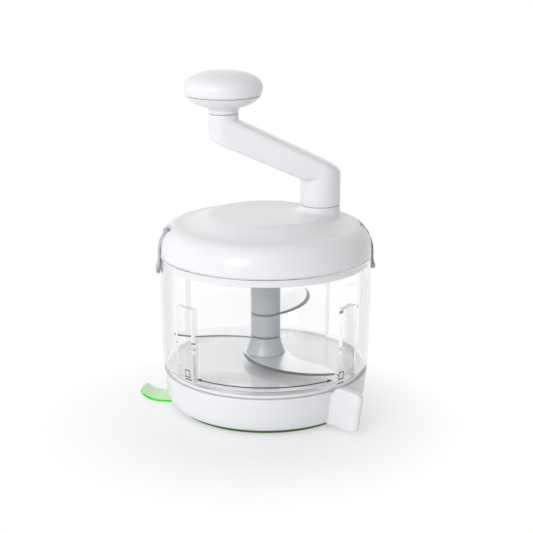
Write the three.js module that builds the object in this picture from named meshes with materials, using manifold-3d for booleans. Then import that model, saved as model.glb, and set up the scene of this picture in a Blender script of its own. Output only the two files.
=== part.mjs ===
// A hand-cranked food processor: a clear bowl on a suction base, a geared lid with a crank,
// and a column with three blades. Millimetres. The origin is the middle of the suction pad's
// flat underside, on the bowl's axis. +Z is up, +X is to the right and -Y faces the front.
import * as THREE from 'three';
import { mergeVertices } from 'three/addons/utils/BufferGeometryUtils.js';
import Module from 'manifold-3d';

const wasm = await Module();
wasm.setup();

// Facets round a turn, and steps along a rounded edge.
const wide_facets = 48;
const hidden_facets = 24;
const knob_facets = 28;
const body_facets = 24;
const small_facets = 16;
const screw_facets = 12;
const hex_facets = 6;
const edge_steps = 2;
const curve_steps = 5;
const ramp_steps = 12;
const full_turn_deg = 360;
const half_turn_deg = 180;
const quarter_turn_deg = 90;

// Gaps that the pieces share.
const gap = 0.3;
const slide_gap = 0.5;
const joint_gap = 0.2;
const overrun = 2;
const weld = 1e-4;
const rim_round = 0.6;
const screw_head_flat_share = 0.6;

// Suction pad and its pull tab.
const pad_set_back = 0.8;
const pad_thickness = 2.2;
const pad_boss_radius = 13;
const pad_boss_roof = 1.5;
const pad_sole = 1;
const tab_width = 21;
const tab_length = 28.3;
const tab_lip_height = 7;
const tab_azimuth_deg = 175;
const tab_bend_share = 0.35;
const tab_lip_share = 0.5;
const tab_inner_bend_share = 2;

// Suction stem, its cross pin and the cam that lifts it.
const stem_radius = 5;
const stem_foot_radius = 9;
const stem_foot_thickness = 1.6;
const stem_length = 19.5;
const stem_lift = 3.5;
const cross_pin_radius = 1.6;
const cross_pin_length = 31;
const cam_turn_deg = 82;
const cam_flange_lap = 8;
const cam_thickness = 2.2;
const ramp_outer_radius = 17;
const ramp_rest_height = 0.6;
const ramp_fall_deg = 35;

// Fixed base plate with its guide tube and three screw posts.
const plate_thickness = 2.2;
const plate_rim_width = 2;
const guide_wall = 4.5;
const guide_top_gap = 3.6;
const guide_cup_wall = 2.2;
const post_flange_gap = 2;
const post_radius = 6;
const post_count = 3;
const post_first_deg = 30;
const post_socket_depth = 8.3;
const base_screw_radius = 1.5;
const base_screw_head_radius = 3;
const base_screw_head_height = 1.8;
const base_screw_web = 4.7;
const base_screw_bite = 7;

// Turning base shell with its paddle.
const shell_wall = 2.4;
const shell_lift = 0.7;
const shell_set_back = 0.1;
const shell_waist_inset = 1.5;
const shell_bottom_inset = 7.2;
const shell_waist_rise = 9.1;
const shell_height = 25.1;
const shell_flange_width = 21.7;
const shell_flange_rise = 6;
const paddle_azimuth_deg = -48.7;
const paddle_thickness = 6.6;
const paddle_length = 21.3;
const paddle_tip_lean = 4.5;
const paddle_top_rise = 4.4;
const paddle_lift = 0.6;
const paddle_shoulder_width = 3.6;
const paddle_corner = 4;
const paddle_tip_drop = 8;
const paddle_edge_round = 2.4;
const cam_screw_radius = 1.3;
const cam_screw_head_radius = 2.6;
const cam_screw_head_height = 1.6;
const cam_screw_first_deg = 95;
const cam_screw_bite = 1.6;

// White deck under the clear floor.
const deck_set_back = 4.8;
const deck_thickness = 2.4;
const deck_rim_depth = 4;
const deck_rim_width = 2;

// Clear bowl.
const bowl_radius = 75;
const bowl_foot_inset = 1.7;
const bowl_belly_swell = 0.1;
const bowl_belly_drop = 24.3;
const bowl_swell_share = 0.62;
const bowl_height = 84;
const bowl_wall = 2.1;
const bowl_floor_lift = 2.4;
const bowl_floor_thickness = 2.3;
const bowl_floor_fillet = 2;
const bowl_boss_radius = 3.9;
const spindle_boss_radius = 5.5;
const spindle_boss_depth = 5.1;
const rib_height_share = 0.668;
const rib_depth = 3.8;
const rib_toe_depth = 2.2;
const rib_span_deg = 12;
const rib_face_azimuths_deg = [-132.8, -33.2, 47.2, 146.8];
const scoop_depth = 3;
const scoop_bulge = 11;
const scoop_half_width = 22;
const scoop_half_height = 13;
const scoop_drop = 16;

// Steel spindle pin that the blade column turns on.
const spindle_radius = 3;
const spindle_top_drop = 28;

// Blade column and blades.
const column_radius = 10.6;
const column_cone_radius = 13.9;
const column_foot_radius = 11.5;
const column_foot_lift = 0.8;
const core_hex_radius = 6.4;
const core_lift = 1.2;
const core_socket_gap = 2.3;
const blade_thickness = 1.2;
const blade_bottom_rise = 4;
const blade_middle_rise = 17.4;
const blade_top_rise = 34.4;
const blade_rib_gap = 0.8;
const blade_belly = 17;
const blade_bottom_belly = 24.5;
const blade_hub_radius = 10.3;
const blade_bottom_azimuth_deg = -44;
const blade_middle_azimuth_deg = 180;
const blade_top_azimuth_deg = 63.5;
const blade_wave_root_deg = 60;
const blade_belly_root_deg = -110;
const blade_wave_shares = [[0.35, 0.2], [0.55, 0.35], [0.75, 0.58]];
const blade_tip_shares = [0.95, 0.475];
const blade_belly_shares = [[0.8, 0.85], [0.35, 1.5]];
const column_top_drop = 0.6;
const socket_depth = 14;

// Lid shell, its boss for the crank and its underside dish.
const lid_seam_gap = 0.4;
const lid_set_back = 0.1;
const lid_edge_inset = 0.8;
const lid_edge_round = 1;
const lid_edge_set_back = 0.25;
const lid_rim_band = 2;
const lid_wall = 2.3;
const lid_shoulder_width = 13.7;
const lid_valley_rise = 21.2;
const lid_flank_width = 21.4;
const lid_plateau_rise = 28.1;
const shoulder_power = 2.3;
const flank_power = 1.6;
const shaft_azimuth_deg = 14.6;
const boss_radius = 14.1;
const boss_stand = 3.8;
const boss_fillet = 5;
const boss_sweep_power = 1.4;
const boss_tube_radius = 10.2;
const boss_tube_bottom_rise = 7.9;
const plug_drop = 5.8;
const plug_wall = 2.2;
const plug_floor = 2;
const plug_top_rise = 2.4;
const lid_post_inset = 13.2;
const lid_post_radius = 4;
const lid_post_azimuths_deg = [62, 135, 225, 310];
const lid_screw_radius = 1.4;
const lid_screw_head_radius = 2.8;
const lid_screw_head_height = 1.6;
const lid_screw_length = 11;
const hub_pin_boss_radius = 6.5;
const hub_pin_boss_drop = 2;

// Gears.
const gear_rim_gap = 1.45;
const drive_teeth = 44;
const pinion_teeth = 20;
const pressure_angle_deg = 20;
const gear_backlash = 0.3;
const gear_root_share = 1.25;
const gear_flank_steps = 2;
const drive_width = 6;
const drive_hub_radius = 9;
const pinion_width = 7.5;
const gear_floor_gap = 2.2;
const axle_radius = 2.4;
const axle_length = 22;
const axle_bite = 9;
const pinion_journal_radius = 7.6;
const drive_tip_hex_radius = 5.6;
const drive_tip_length = 12;
const bushing_wall = 1.7;
const bushing_flange_width = 1.4;
const bushing_flange_height = 1;

// Crank shaft and its long screw.
const shaft_radius = 5;
const shaft_hex_radius = 4.8;
const shaft_hex_rise = 13;
const shaft_screw_radius = 1.6;
const shaft_screw_head_radius = 4.2;
const shaft_screw_head_height = 1.5;
const shaft_screw_bite = 7;

// Crank arm.
const crank_reach = 68.4;
const crank_azimuth_deg = 188.4;
const hub_overhang = 0.1;
const arm_hub_rise = 19.6;
const arm_hub_depth = 13;
const arm_post_rise = 48.4;
const arm_post_depth = 12.7;
const post_stand = 5;
const arm_post_radius = 10.5;
const arm_corner = 5;
const arm_corner_limit_share = 0.9;
const arm_post_fillet = 3;

// Knob and its spindle.
const knob_neck_inset = 0.2;
const knob_seam_radius = 25.7;
const knob_cap_overhang = 1.6;
const knob_body_height = 12.3;
const knob_cap_height = 16.6;
const knob_cap_wall = 2.6;
const knob_pocket_radius = 8.5;
const knob_pocket_depth = 4.5;
const knob_collar_inset = 5.7;
const knob_collar_wall = 2;
const knob_collar_depth = 3;
const knob_spindle_radius = 3.5;
const knob_spindle_root = 14;
const knob_screw_radius = 1.4;
const knob_screw_head_radius = 6.2;
const knob_screw_head_height = 1.6;
const knob_screw_length = 12;
const knob_body_shares = [
  [0.407, 0.15], [0.45, 0.28], [0.54, 0.38], [0.67, 0.47], [0.8, 0.59], [0.91, 0.76], [0.98, 0.92],
];
const knob_cap_lower_share = 0.13;
const knob_widest_share = 0.3;
const dome_power = 2.3;

// Side latches, each on a pin across a pocket in the lid's shoulder.
const latch_azimuths_deg = { left: 185, right: 5 };
const latch_width = 21;
const latch_corner_share = 0.38;
const latch_hinge_inset = 5;
const latch_hinge_drop = 7.2;
const latch_bar_radius = 2.4;
const latch_thickness = 1;
const latch_tab_flare = 1.6;
const latch_drop = 13;
const latch_pin_radius = 1.1;
const latch_pin_bite = 3;
const pocket_wall = 2.4;
const pocket_clearance = 0.7;
const channel_depth = 1.8;
const channel_foot_rise = 7.2;
const latch_outer_shares = [[0.37, 1.08], [0.64, 0.88], [0.91, 0.67], [1.08, 0.45], [1.16, 0.23]];
const latch_inner_shares = [[1, 0.23], [0.93, 0.53], [0.73, 0.68], [0.49, 0.81], [0.31, 0.86]];
const latch_tab_shares = [0.3, 0.62, 0.8, 0.93];
const latch_tab_curl = 0.5;

// Radii that follow from the bowl's, so that the whole stack keeps one outline.
const bowl_foot_radius = bowl_radius - bowl_foot_inset;
const bowl_belly_radius = bowl_radius + bowl_belly_swell;
const bowl_inner_rim = bowl_radius - bowl_wall;
const lid_radius = bowl_radius - lid_set_back;
const lid_edge_radius = lid_radius - lid_edge_inset;
const lid_valley_radius = lid_radius - lid_shoulder_width;
const lid_plateau_radius = lid_valley_radius - lid_flank_width;
const plug_radius = bowl_inner_rim - slide_gap;
const plug_inner_radius = plug_radius - plug_wall;
const lid_post_circle_radius = plug_inner_radius - lid_post_inset;
const latch_hinge_radius = lid_radius - latch_hinge_inset;
const shell_top_radius = bowl_foot_radius - shell_set_back;
const shell_waist_radius = shell_top_radius - shell_waist_inset;
const shell_bottom_radius = shell_waist_radius - shell_bottom_inset;
const shell_flange_bore = shell_waist_radius - shell_flange_width;
const deck_radius = shell_top_radius - shell_wall - deck_set_back;
const plate_radius = shell_bottom_radius - shell_wall - gap;
const pad_radius = shell_bottom_radius - pad_set_back;
const tab_reach = pad_radius + tab_length;
const cam_outer_radius = shell_flange_bore + cam_flange_lap;
const cam_screw_circle_radius = (shell_flange_bore + cam_outer_radius) / 2;
const post_circle_radius = shell_flange_bore - post_radius - post_flange_gap;
const paddle_foot_reach = shell_top_radius + paddle_length;
const paddle_tip_reach = paddle_foot_reach + paddle_tip_lean;
const paddle_shoulder_radius = shell_top_radius + paddle_shoulder_width;
const blade_reach = bowl_foot_radius - bowl_wall - rib_depth - blade_rib_gap;
const hub_radius = boss_radius + hub_overhang;
const knob_neck_radius = arm_post_radius - knob_neck_inset;
const knob_cap_radius = knob_seam_radius + knob_cap_overhang;
const knob_collar_radius = knob_seam_radius - knob_collar_inset;

// Gear size: the drive gear, meshed with a pinion on the bowl's axis, fills the dish's radius.
const gear_reach_in_modules = (drive_teeth + pinion_teeth) / 2 + drive_teeth / 2 + 1;
const gear_module = (plug_inner_radius - gear_rim_gap) / gear_reach_in_modules;
const shaft_circle_radius = gear_module * (drive_teeth + pinion_teeth) / 2;

// Levels that follow from the sizes above.
const plate_bottom = pad_thickness + gap;
const plate_top = plate_bottom + plate_thickness;
const shell_bottom = pad_thickness + shell_lift;
const shell_top = shell_bottom + shell_height;
const shell_waist_height = shell_bottom + shell_waist_rise;
const shell_flange_bottom = shell_bottom + shell_flange_rise;
const paddle_top = shell_top + paddle_top_rise;
const stem_foot_bottom = pad_sole + slide_gap;
const stem_top = stem_foot_bottom + stem_length;
const foot_room = stem_foot_thickness + stem_lift + 2 * slide_gap;
const pad_boss_top = pad_sole + foot_room + pad_boss_roof;
const cup_bore = pad_boss_radius + slide_gap;
const cup_radius = cup_bore + guide_cup_wall;
const cup_roof_bottom = pad_boss_top + slide_gap;
const cup_roof_top = cup_roof_bottom + guide_cup_wall;
const guide_bore = stem_radius + gap;
const guide_radius = guide_bore + guide_wall;
const shell_flange_top = shell_flange_bottom + shell_wall;
const cam_bottom = Math.max(shell_flange_top, cup_roof_top) + gap;
const cam_top = cam_bottom + cam_thickness;
const ramp_low = cam_top + ramp_rest_height;
const ramp_bore = guide_radius + slide_gap;
const cross_pin_level = ramp_low + cross_pin_radius + gap;
const bowl_bottom = shell_top + gap;
const bowl_top = bowl_bottom + bowl_height;
const floor_bottom = bowl_bottom + bowl_floor_lift;
const floor_top = floor_bottom + bowl_floor_thickness;
const rib_top = floor_top + rib_height_share * (bowl_top - floor_top);
const deck_top = floor_bottom - gap;
const deck_bottom = deck_top - deck_thickness;
const post_socket_floor = deck_bottom - post_socket_depth;
const base_screw_seat = post_socket_floor - base_screw_web;
const bowl_belly_height = bowl_top - bowl_belly_drop;
const spindle_boss_bottom = floor_bottom - spindle_boss_depth;
const guide_top = spindle_boss_bottom - guide_top_gap;
const column_foot_bottom = floor_top + column_foot_lift;
const core_bottom = floor_top + core_lift;
const blade_bottom_level = floor_top + blade_bottom_rise;
const blade_middle_level = floor_top + blade_middle_rise;
const blade_top_level = floor_top + blade_top_rise;
const lid_bottom = bowl_top + lid_seam_gap;
const plug_bottom = lid_bottom - plug_drop;
const plug_floor_top = plug_bottom + plug_floor;
const gear_bottom = plug_floor_top + gear_floor_gap;
const drive_top = gear_bottom + drive_width;
const boss_top = lid_bottom + lid_plateau_rise + boss_stand;
const boss_tube_bottom = lid_bottom + boss_tube_bottom_rise;
const bushing_bore = shaft_radius + joint_gap;
const bushing_radius = bushing_bore + bushing_wall;
const pinion_bushing_bore = pinion_journal_radius + joint_gap;
const pinion_bushing_radius = pinion_bushing_bore + bushing_wall;
const column_top = plug_bottom - column_top_drop;
const socket_bottom = column_top - socket_depth;
const core_top = socket_bottom - core_socket_gap;
const spindle_top = core_top - spindle_top_drop;
const hub_bottom = boss_top + gap;
const arm_post_shoulder = hub_bottom + arm_post_rise + arm_post_depth;
const arm_post_top = arm_post_shoulder + post_stand;
const shaft_hex_top = hub_bottom + shaft_hex_rise;
const knob_bottom = arm_post_top + gap;
const knob_seam = knob_bottom + knob_body_height;
const knob_cap_bottom = knob_seam + gap;
const knob_spindle_top = knob_seam - knob_pocket_depth + joint_gap;
const latch_hinge_level = lid_bottom + lid_valley_rise - latch_hinge_drop;
const shaft_place = polar(shaft_circle_radius, shaft_azimuth_deg);

// Colours, roughness and metalness.
const white_plastic = { color: 0xeaebed, roughness: 0.35, metalness: 0 };
const clear_plastic = { color: 0xf2f6f8, roughness: 0.05, metalness: 0, transparent: true, opacity: 0.3 };
const grey_plastic = { color: 0xb0b3b8, roughness: 0.4, metalness: 0 };
const green_silicone = { color: 0x51e43b, roughness: 0.5, metalness: 0 };
const blade_steel = { color: 0xd5d8da, roughness: 0.2, metalness: 1 };
const screw_steel = { color: 0xa8abaf, roughness: 0.3, metalness: 1 };
const gear_plastic = { color: 0xe0e0da, roughness: 0.45, metalness: 0 };

// A place in plan, at a radius and an azimuth in degrees.
function polar(radius, azimuth_deg) {
  const angle = THREE.MathUtils.degToRad(azimuth_deg);
  return [radius * Math.cos(angle), radius * Math.sin(angle)];
}

// The solid that a closed geometry bounds, with its faces turned outwards.
function solid(geometry) {
  geometry.deleteAttribute('normal');
  geometry.deleteAttribute('uv');
  const merged = mergeVertices(geometry, weld);
  const places = merged.getAttribute('position').array;
  const triangles = [];
  for (let i = 0; i < merged.index.count; i += 3) {
    const [a, b, c] = merged.index.array.slice(i, i + 3);
    if (a !== b && b !== c && c !== a) triangles.push([a, b, c]);
  }
  const corner = (index) => new THREE.Vector3().fromArray(places, 3 * index);
  const volume_of = ([a, b, c]) => corner(a).dot(corner(b).cross(corner(c)));
  const volume = triangles.reduce((sum, triangle) => sum + volume_of(triangle), 0);
  const facing_out = volume > 0 ? triangles : triangles.map(([a, b, c]) => [a, c, b]);
  const mesh = new wasm.Mesh({
    numProp: 3,
    vertProperties: places,
    triVerts: new Uint32Array(facing_out.flat()),
  });
  return new wasm.Manifold(mesh);
}

// All of a list of solids joined.
function joined(solids) {
  return solids.reduce((sum, next) => sum.add(next));
}

// A list of solids cut from another.
function cut(from, tools) {
  return tools.reduce((rest, tool) => rest.subtract(tool), from);
}

// An outline of [radius, height] pairs turned about the upright line through a place in plan.
function turned(outline, facets, place = [0, 0]) {
  const loop = [...outline, outline[0]];
  const points = loop.map(([radius, height]) => new THREE.Vector2(radius, height));
  const geometry = new THREE.LatheGeometry(points, facets);
  geometry.rotateX(Math.PI / 2);
  geometry.translate(place[0], place[1], 0);
  return solid(geometry);
}

// A round bar between two levels, at a place in plan.
function bar(radius, bottom, top, facets = small_facets, place = [0, 0]) {
  return turned([[0, bottom], [radius, bottom], [radius, top], [0, top]], facets, place);
}

// A ring of rectangular section between two radii and two levels.
function ring(inner, outer, bottom, top, facets = hidden_facets) {
  return turned([[inner, bottom], [outer, bottom], [outer, top], [inner, top]], facets);
}

// A flat shape made solid between two levels, turned in plan and moved.
function prism(shape, bottom, top, turn_deg = 0, place = [0, 0], steps = curve_steps) {
  const settings = { depth: top - bottom, bevelEnabled: false, curveSegments: steps };
  const geometry = new THREE.ExtrudeGeometry(shape, settings);
  geometry.rotateZ(THREE.MathUtils.degToRad(turn_deg));
  geometry.translate(place[0], place[1], bottom);
  return solid(geometry);
}

// A side view of [distance, height] points made solid across a width with rounded edges,
// standing on a radial line at an azimuth.
function upright(shape, width, edge_round, azimuth_deg, steps = curve_steps) {
  const settings = {
    depth: width - 2 * edge_round,
    bevelEnabled: edge_round > 0,
    bevelThickness: edge_round,
    bevelSize: edge_round,
    bevelOffset: -edge_round,
    bevelSegments: edge_steps,
    curveSegments: steps,
  };
  const geometry = new THREE.ExtrudeGeometry(shape, settings);
  geometry.translate(0, 0, edge_round - width / 2);
  geometry.rotateX(Math.PI / 2);
  geometry.rotateZ(THREE.MathUtils.degToRad(azimuth_deg));
  return solid(geometry);
}

// A box by its sizes, with its middle at a place, turned in plan about the Z axis.
function block([width, depth, height], [x, y, z], turn_deg = 0) {
  const geometry = new THREE.BoxGeometry(width, depth, height);
  geometry.translate(x, y, z);
  geometry.rotateZ(THREE.MathUtils.degToRad(turn_deg));
  return solid(geometry);
}

// A round bar lying level across a radial line, centred on it.
function cross_bar(radius, length, distance, level, azimuth_deg, facets = small_facets) {
  const geometry = new THREE.CylinderGeometry(radius, radius, length, facets);
  geometry.translate(distance, 0, level);
  geometry.rotateZ(THREE.MathUtils.degToRad(azimuth_deg));
  return solid(geometry);
}

// A screw that points up: a round head below a shank.
function screw(radius, head_radius, head_height, seat, top, place) {
  const outline = [
    [0, seat - head_height],
    [head_radius * screw_head_flat_share, seat - head_height],
    [head_radius, seat - head_height * screw_head_flat_share],
    [head_radius, seat],
    [radius, seat],
    [radius, top - radius],
    [0, top],
  ];
  return turned(outline, screw_facets, place);
}

// Points along a quarter of a rounded corner, from one end to the other.
function quarter(centre, radius, from_deg, to_deg, steps = edge_steps) {
  const points = [];
  for (let step = 0; step <= steps; step += 1) {
    const [x, y] = polar(radius, from_deg + (to_deg - from_deg) * step / steps);
    points.push([centre[0] + x, centre[1] + y]);
  }
  return points;
}

// A shape from a list of points.
function flat(points) {
  return new THREE.Shape(points.map(([x, y]) => new THREE.Vector2(x, y)));
}

// A hexagon with its corners on a radius.
function hexagon(radius) {
  const points = [];
  for (let side = 0; side < hex_facets; side += 1) {
    points.push(polar(radius, side * full_turn_deg / hex_facets));
  }
  return flat(points);
}

// A named mesh with its own material.
function piece(name, made, look) {
  const data = made.getMesh();
  const geometry = new THREE.BufferGeometry();
  geometry.setAttribute('position', new THREE.BufferAttribute(data.vertProperties, 3));
  geometry.setIndex(new THREE.BufferAttribute(data.triVerts, 1));
  geometry.computeVertexNormals();
  const mesh = new THREE.Mesh(geometry, new THREE.MeshStandardMaterial({ ...look, flatShading: true }));
  mesh.name = name;
  return mesh;
}

// Silicone pad: a flat disc whose middle boss holds the stem's foot in a pocket.
function suction_pad() {
  const pocket_top = pad_sole + foot_room;
  const neck = stem_radius + slide_gap;
  const outline = [
    [0, 0],
    [pad_radius, 0],
    [pad_radius, pad_thickness],
    [pad_boss_radius, pad_thickness],
    [pad_boss_radius, pad_boss_top],
    [neck, pad_boss_top],
    [neck, pocket_top],
    [stem_foot_radius + slide_gap, pocket_top],
    [stem_foot_radius + slide_gap, pad_sole],
    [0, pad_sole],
  ];
  return turned(outline, wide_facets);
}

// Pull tab: a strip that lies on the table beside the pad and curls up to a lip.
function pull_tab() {
  const root = pad_radius + gap;
  const length = tab_reach - root;
  const bend = root + length * tab_bend_share;
  const lip = pad_thickness * tab_lip_share;
  const inner_bend = pad_thickness * tab_inner_bend_share;
  const side = new THREE.Shape();
  side.moveTo(root, 0);
  side.lineTo(bend, 0);
  side.quadraticCurveTo(tab_reach - pad_thickness, lip, tab_reach, tab_lip_height);
  side.lineTo(tab_reach - pad_thickness, tab_lip_height + lip);
  side.quadraticCurveTo(tab_reach - inner_bend, inner_bend, bend, pad_thickness);
  side.lineTo(root, pad_thickness);
  const strip = upright(side, tab_width, 0, tab_azimuth_deg);
  const hollow = bar(root, -overrun, tab_lip_height, wide_facets);
  return strip.subtract(hollow);
}

// Stem: a round rod with a foot, and a cross hole for the pin.
function suction_stem() {
  const foot_top = stem_foot_bottom + stem_foot_thickness;
  const outline = [
    [0, stem_foot_bottom],
    [stem_foot_radius, stem_foot_bottom],
    [stem_foot_radius, foot_top],
    [stem_radius, foot_top],
    [stem_radius, stem_top],
    [0, stem_top],
  ];
  const rod = turned(outline, small_facets);
  const hole_radius = cross_pin_radius + joint_gap;
  const hole = cross_bar(hole_radius, 2 * stem_radius + overrun, 0, cross_pin_level, 0, screw_facets);
  return rod.subtract(hole);
}

function cross_pin() {
  return cross_bar(cross_pin_radius, cross_pin_length, 0, cross_pin_level, 0, screw_facets);
}

// Places of the screw posts in plan.
function post_places() {
  const places = [];
  for (let post = 0; post < post_count; post += 1) {
    places.push(polar(post_circle_radius, post_first_deg + post * full_turn_deg / post_count));
  }
  return places;
}

// Base plate: a disc with a rim that carries the shell, a cup over the pad's boss, a guide tube
// with two slots for the cross pin, and posts that the screws pull up against the deck.
function base_plate() {
  const outline = [
    [cup_bore, plate_bottom],
    [plate_radius, plate_bottom],
    [plate_radius, shell_flange_bottom - gap],
    [plate_radius - plate_rim_width, shell_flange_bottom - gap],
    [plate_radius - plate_rim_width, plate_top],
    [cup_radius, plate_top],
    [cup_radius, cup_roof_top],
    [guide_radius, cup_roof_top],
    [guide_radius, guide_top],
    [guide_bore, guide_top],
    [guide_bore, cup_roof_bottom],
    [cup_bore, cup_roof_bottom],
  ];
  const disc = turned(outline, hidden_facets);
  const posts = post_places().map((place) =>
    bar(post_radius, plate_bottom, deck_bottom - gap, small_facets, place));
  const sockets = post_places().map((place) =>
    bar(bowl_boss_radius + slide_gap, post_socket_floor, deck_bottom, small_facets, place));
  const holes = post_places().map((place) =>
    bar(base_screw_radius + gap, 0, deck_bottom, screw_facets, place));
  const head_wells = post_places().map((place) =>
    bar(base_screw_head_radius + slide_gap, 0, base_screw_seat, screw_facets, place));
  const slot_width = 2 * (cross_pin_radius + gap);
  const slot_bottom = cross_pin_level - cross_pin_radius - slide_gap;
  const slot_height = guide_top + overrun - slot_bottom;
  const slot_size = [slot_width, 2 * guide_radius + overrun, slot_height];
  const slot = block(slot_size, [0, 0, slot_bottom + slot_height / 2]);
  return cut(joined([disc, ...posts]), [...sockets, ...holes, ...head_wells, slot]);
}

function base_screw(place) {
  const top = post_socket_floor + base_screw_bite;
  const seat = base_screw_seat - gap;
  return screw(base_screw_radius, base_screw_head_radius, base_screw_head_height, seat, top, place);
}

// Height of the cam's ramp above its low end, as a share of the lift, at an angle past the pin.
function ramp_share(angle_deg) {
  if (angle_deg <= cam_turn_deg) return Math.max(angle_deg, 0) / cam_turn_deg;
  const fall_start = half_turn_deg - ramp_fall_deg;
  if (angle_deg <= fall_start) return 1;
  return Math.max(1 - (angle_deg - fall_start) / (ramp_fall_deg / 2), 0);
}

// Two ramps round the guide tube, each rising over the shell's travel under one end of the pin.
function ramps() {
  const low = cam_top - cam_thickness / 2;
  const corners = [];
  for (let step = 0; step < 2 * ramp_steps; step += 1) {
    const angle_deg = step * half_turn_deg / ramp_steps;
    const top = ramp_low + stem_lift * ramp_share(angle_deg % half_turn_deg);
    const inner = polar(ramp_bore, angle_deg + quarter_turn_deg);
    const outer = polar(ramp_outer_radius, angle_deg + quarter_turn_deg);
    corners.push([...inner, low], [...outer, low], [...outer, top], [...inner, top]);
  }
  const sides = 4;
  const index = [];
  for (let step = 0; step < 2 * ramp_steps; step += 1) {
    const here = sides * step;
    const next = sides * ((step + 1) % (2 * ramp_steps));
    for (let side = 0; side < sides; side += 1) {
      const after = (side + 1) % sides;
      index.push(here + side, here + after, next + after);
      index.push(here + side, next + after, next + side);
    }
  }
  const geometry = new THREE.BufferGeometry();
  geometry.setAttribute('position', new THREE.Float32BufferAttribute(corners.flat(), 3));
  geometry.setIndex(index);
  return solid(geometry);
}

// An arc-shaped slot in plan, on the posts' circle.
function arc_slot(middle_deg) {
  const half_width = post_radius + slide_gap;
  const end_deg = THREE.MathUtils.radToDeg(half_width / post_circle_radius);
  const from_deg = middle_deg - end_deg;
  const to_deg = middle_deg + cam_turn_deg + end_deg;
  const inner = quarter([0, 0], post_circle_radius - half_width, to_deg, from_deg, 2 * curve_steps);
  const outer = quarter([0, 0], post_circle_radius + half_width, from_deg, to_deg, 2 * curve_steps);
  return prism(flat([...outer, ...inner]), cam_bottom - overrun, cam_top + overrun);
}

// Places of the cam's screws in plan.
function cam_screw_places() {
  const places = [];
  for (let turn = 0; turn < post_count; turn += 1) {
    places.push(polar(cam_screw_circle_radius, cam_screw_first_deg + turn * full_turn_deg / post_count));
  }
  return places;
}

// Cam ring: a disc with a slot for each post's travel and two ramps in the middle.
function cam_ring() {
  const disc = ring(ramp_bore, cam_outer_radius, cam_bottom, cam_top);
  const slots = [];
  for (let post = 0; post < post_count; post += 1) {
    slots.push(arc_slot(post_first_deg + post * full_turn_deg / post_count));
  }
  const holes = cam_screw_places().map((place) =>
    bar(cam_screw_radius + joint_gap, cam_bottom - overrun, cam_top + overrun, screw_facets, place));
  return cut(joined([disc, ramps()]), [...slots, ...holes]);
}

function cam_screw(place) {
  const seat = shell_flange_bottom - joint_gap;
  const top = cam_top + cam_screw_bite;
  return screw(cam_screw_radius, cam_screw_head_radius, cam_screw_head_height, seat, top, place);
}

// Side view of the paddle, from its root inside the shell to its rounded tip.
function paddle_side() {
  const root = shell_bottom_radius - shell_wall;
  const side = new THREE.Shape();
  side.moveTo(root, shell_bottom + paddle_lift);
  side.lineTo(paddle_foot_reach - paddle_corner, shell_bottom);
  side.quadraticCurveTo(
    paddle_foot_reach, shell_bottom, paddle_foot_reach + paddle_lift, shell_bottom + paddle_corner);
  side.lineTo(paddle_tip_reach, paddle_top - paddle_tip_drop);
  side.quadraticCurveTo(
    paddle_tip_reach + paddle_lift, paddle_top, paddle_tip_reach - paddle_corner, paddle_top);
  side.lineTo(paddle_shoulder_radius + paddle_corner, paddle_top - paddle_lift);
  side.quadraticCurveTo(
    paddle_shoulder_radius, paddle_top - paddle_lift, shell_top_radius, shell_top - paddle_corner / 2);
  side.lineTo(root, shell_waist_height);
  return side;
}

// Outer outline of the shell from its bottom edge to its top edge.
function shell_side(inset, steps) {
  const belly = new THREE.QuadraticBezierCurve(
    new THREE.Vector2(shell_bottom_radius - inset, shell_bottom),
    new THREE.Vector2(shell_waist_radius - shell_wall - inset, shell_bottom),
    new THREE.Vector2(shell_waist_radius - inset, shell_waist_height),
  );
  const points = belly.getPoints(steps).map((point) => [point.x, point.y]);
  return [...points, [shell_top_radius - inset, shell_top - rim_round]];
}

// Base shell: a turning ring with an inner flange that the cam is screwed to, and a paddle.
function base_shell() {
  const outer = shell_side(0, curve_steps);
  const inner = shell_side(shell_wall, edge_steps).reverse();
  const below = inner.filter(([, height]) => height < shell_flange_bottom);
  const above = inner.filter(([, height]) => height > shell_flange_top);
  const wall_at = shell_waist_radius - shell_wall;
  const outline = [
    ...outer,
    [shell_top_radius - rim_round, shell_top],
    [deck_radius + slide_gap, shell_top],
    [deck_radius + slide_gap, shell_top - shell_wall],
    [shell_top_radius - shell_wall, shell_top - shell_wall],
    ...above.slice(1),
    [wall_at - joint_gap, shell_flange_top],
    [shell_flange_bore, shell_flange_top],
    [shell_flange_bore, shell_flange_bottom],
    [wall_at - shell_wall / 2, shell_flange_bottom],
    ...below,
  ];
  const body = turned(outline, wide_facets);
  const blade = upright(paddle_side(), paddle_thickness, paddle_edge_round, paddle_azimuth_deg);
  const inside = turned([
    [0, 0],
    [shell_bottom_radius - shell_wall, 0],
    [shell_bottom_radius - shell_wall, shell_bottom],
    [wall_at - shell_wall / 2, shell_flange_bottom],
    [wall_at - joint_gap, shell_flange_top],
    [shell_top_radius - shell_wall, shell_top - shell_wall],
    [0, shell_top - shell_wall],
  ], wide_facets);
  const holes = cam_screw_places().map((place) =>
    bar(cam_screw_radius + joint_gap, plate_top, cam_top, screw_facets, place));
  return cut(joined([body, blade.subtract(inside)]), holes);
}

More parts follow.
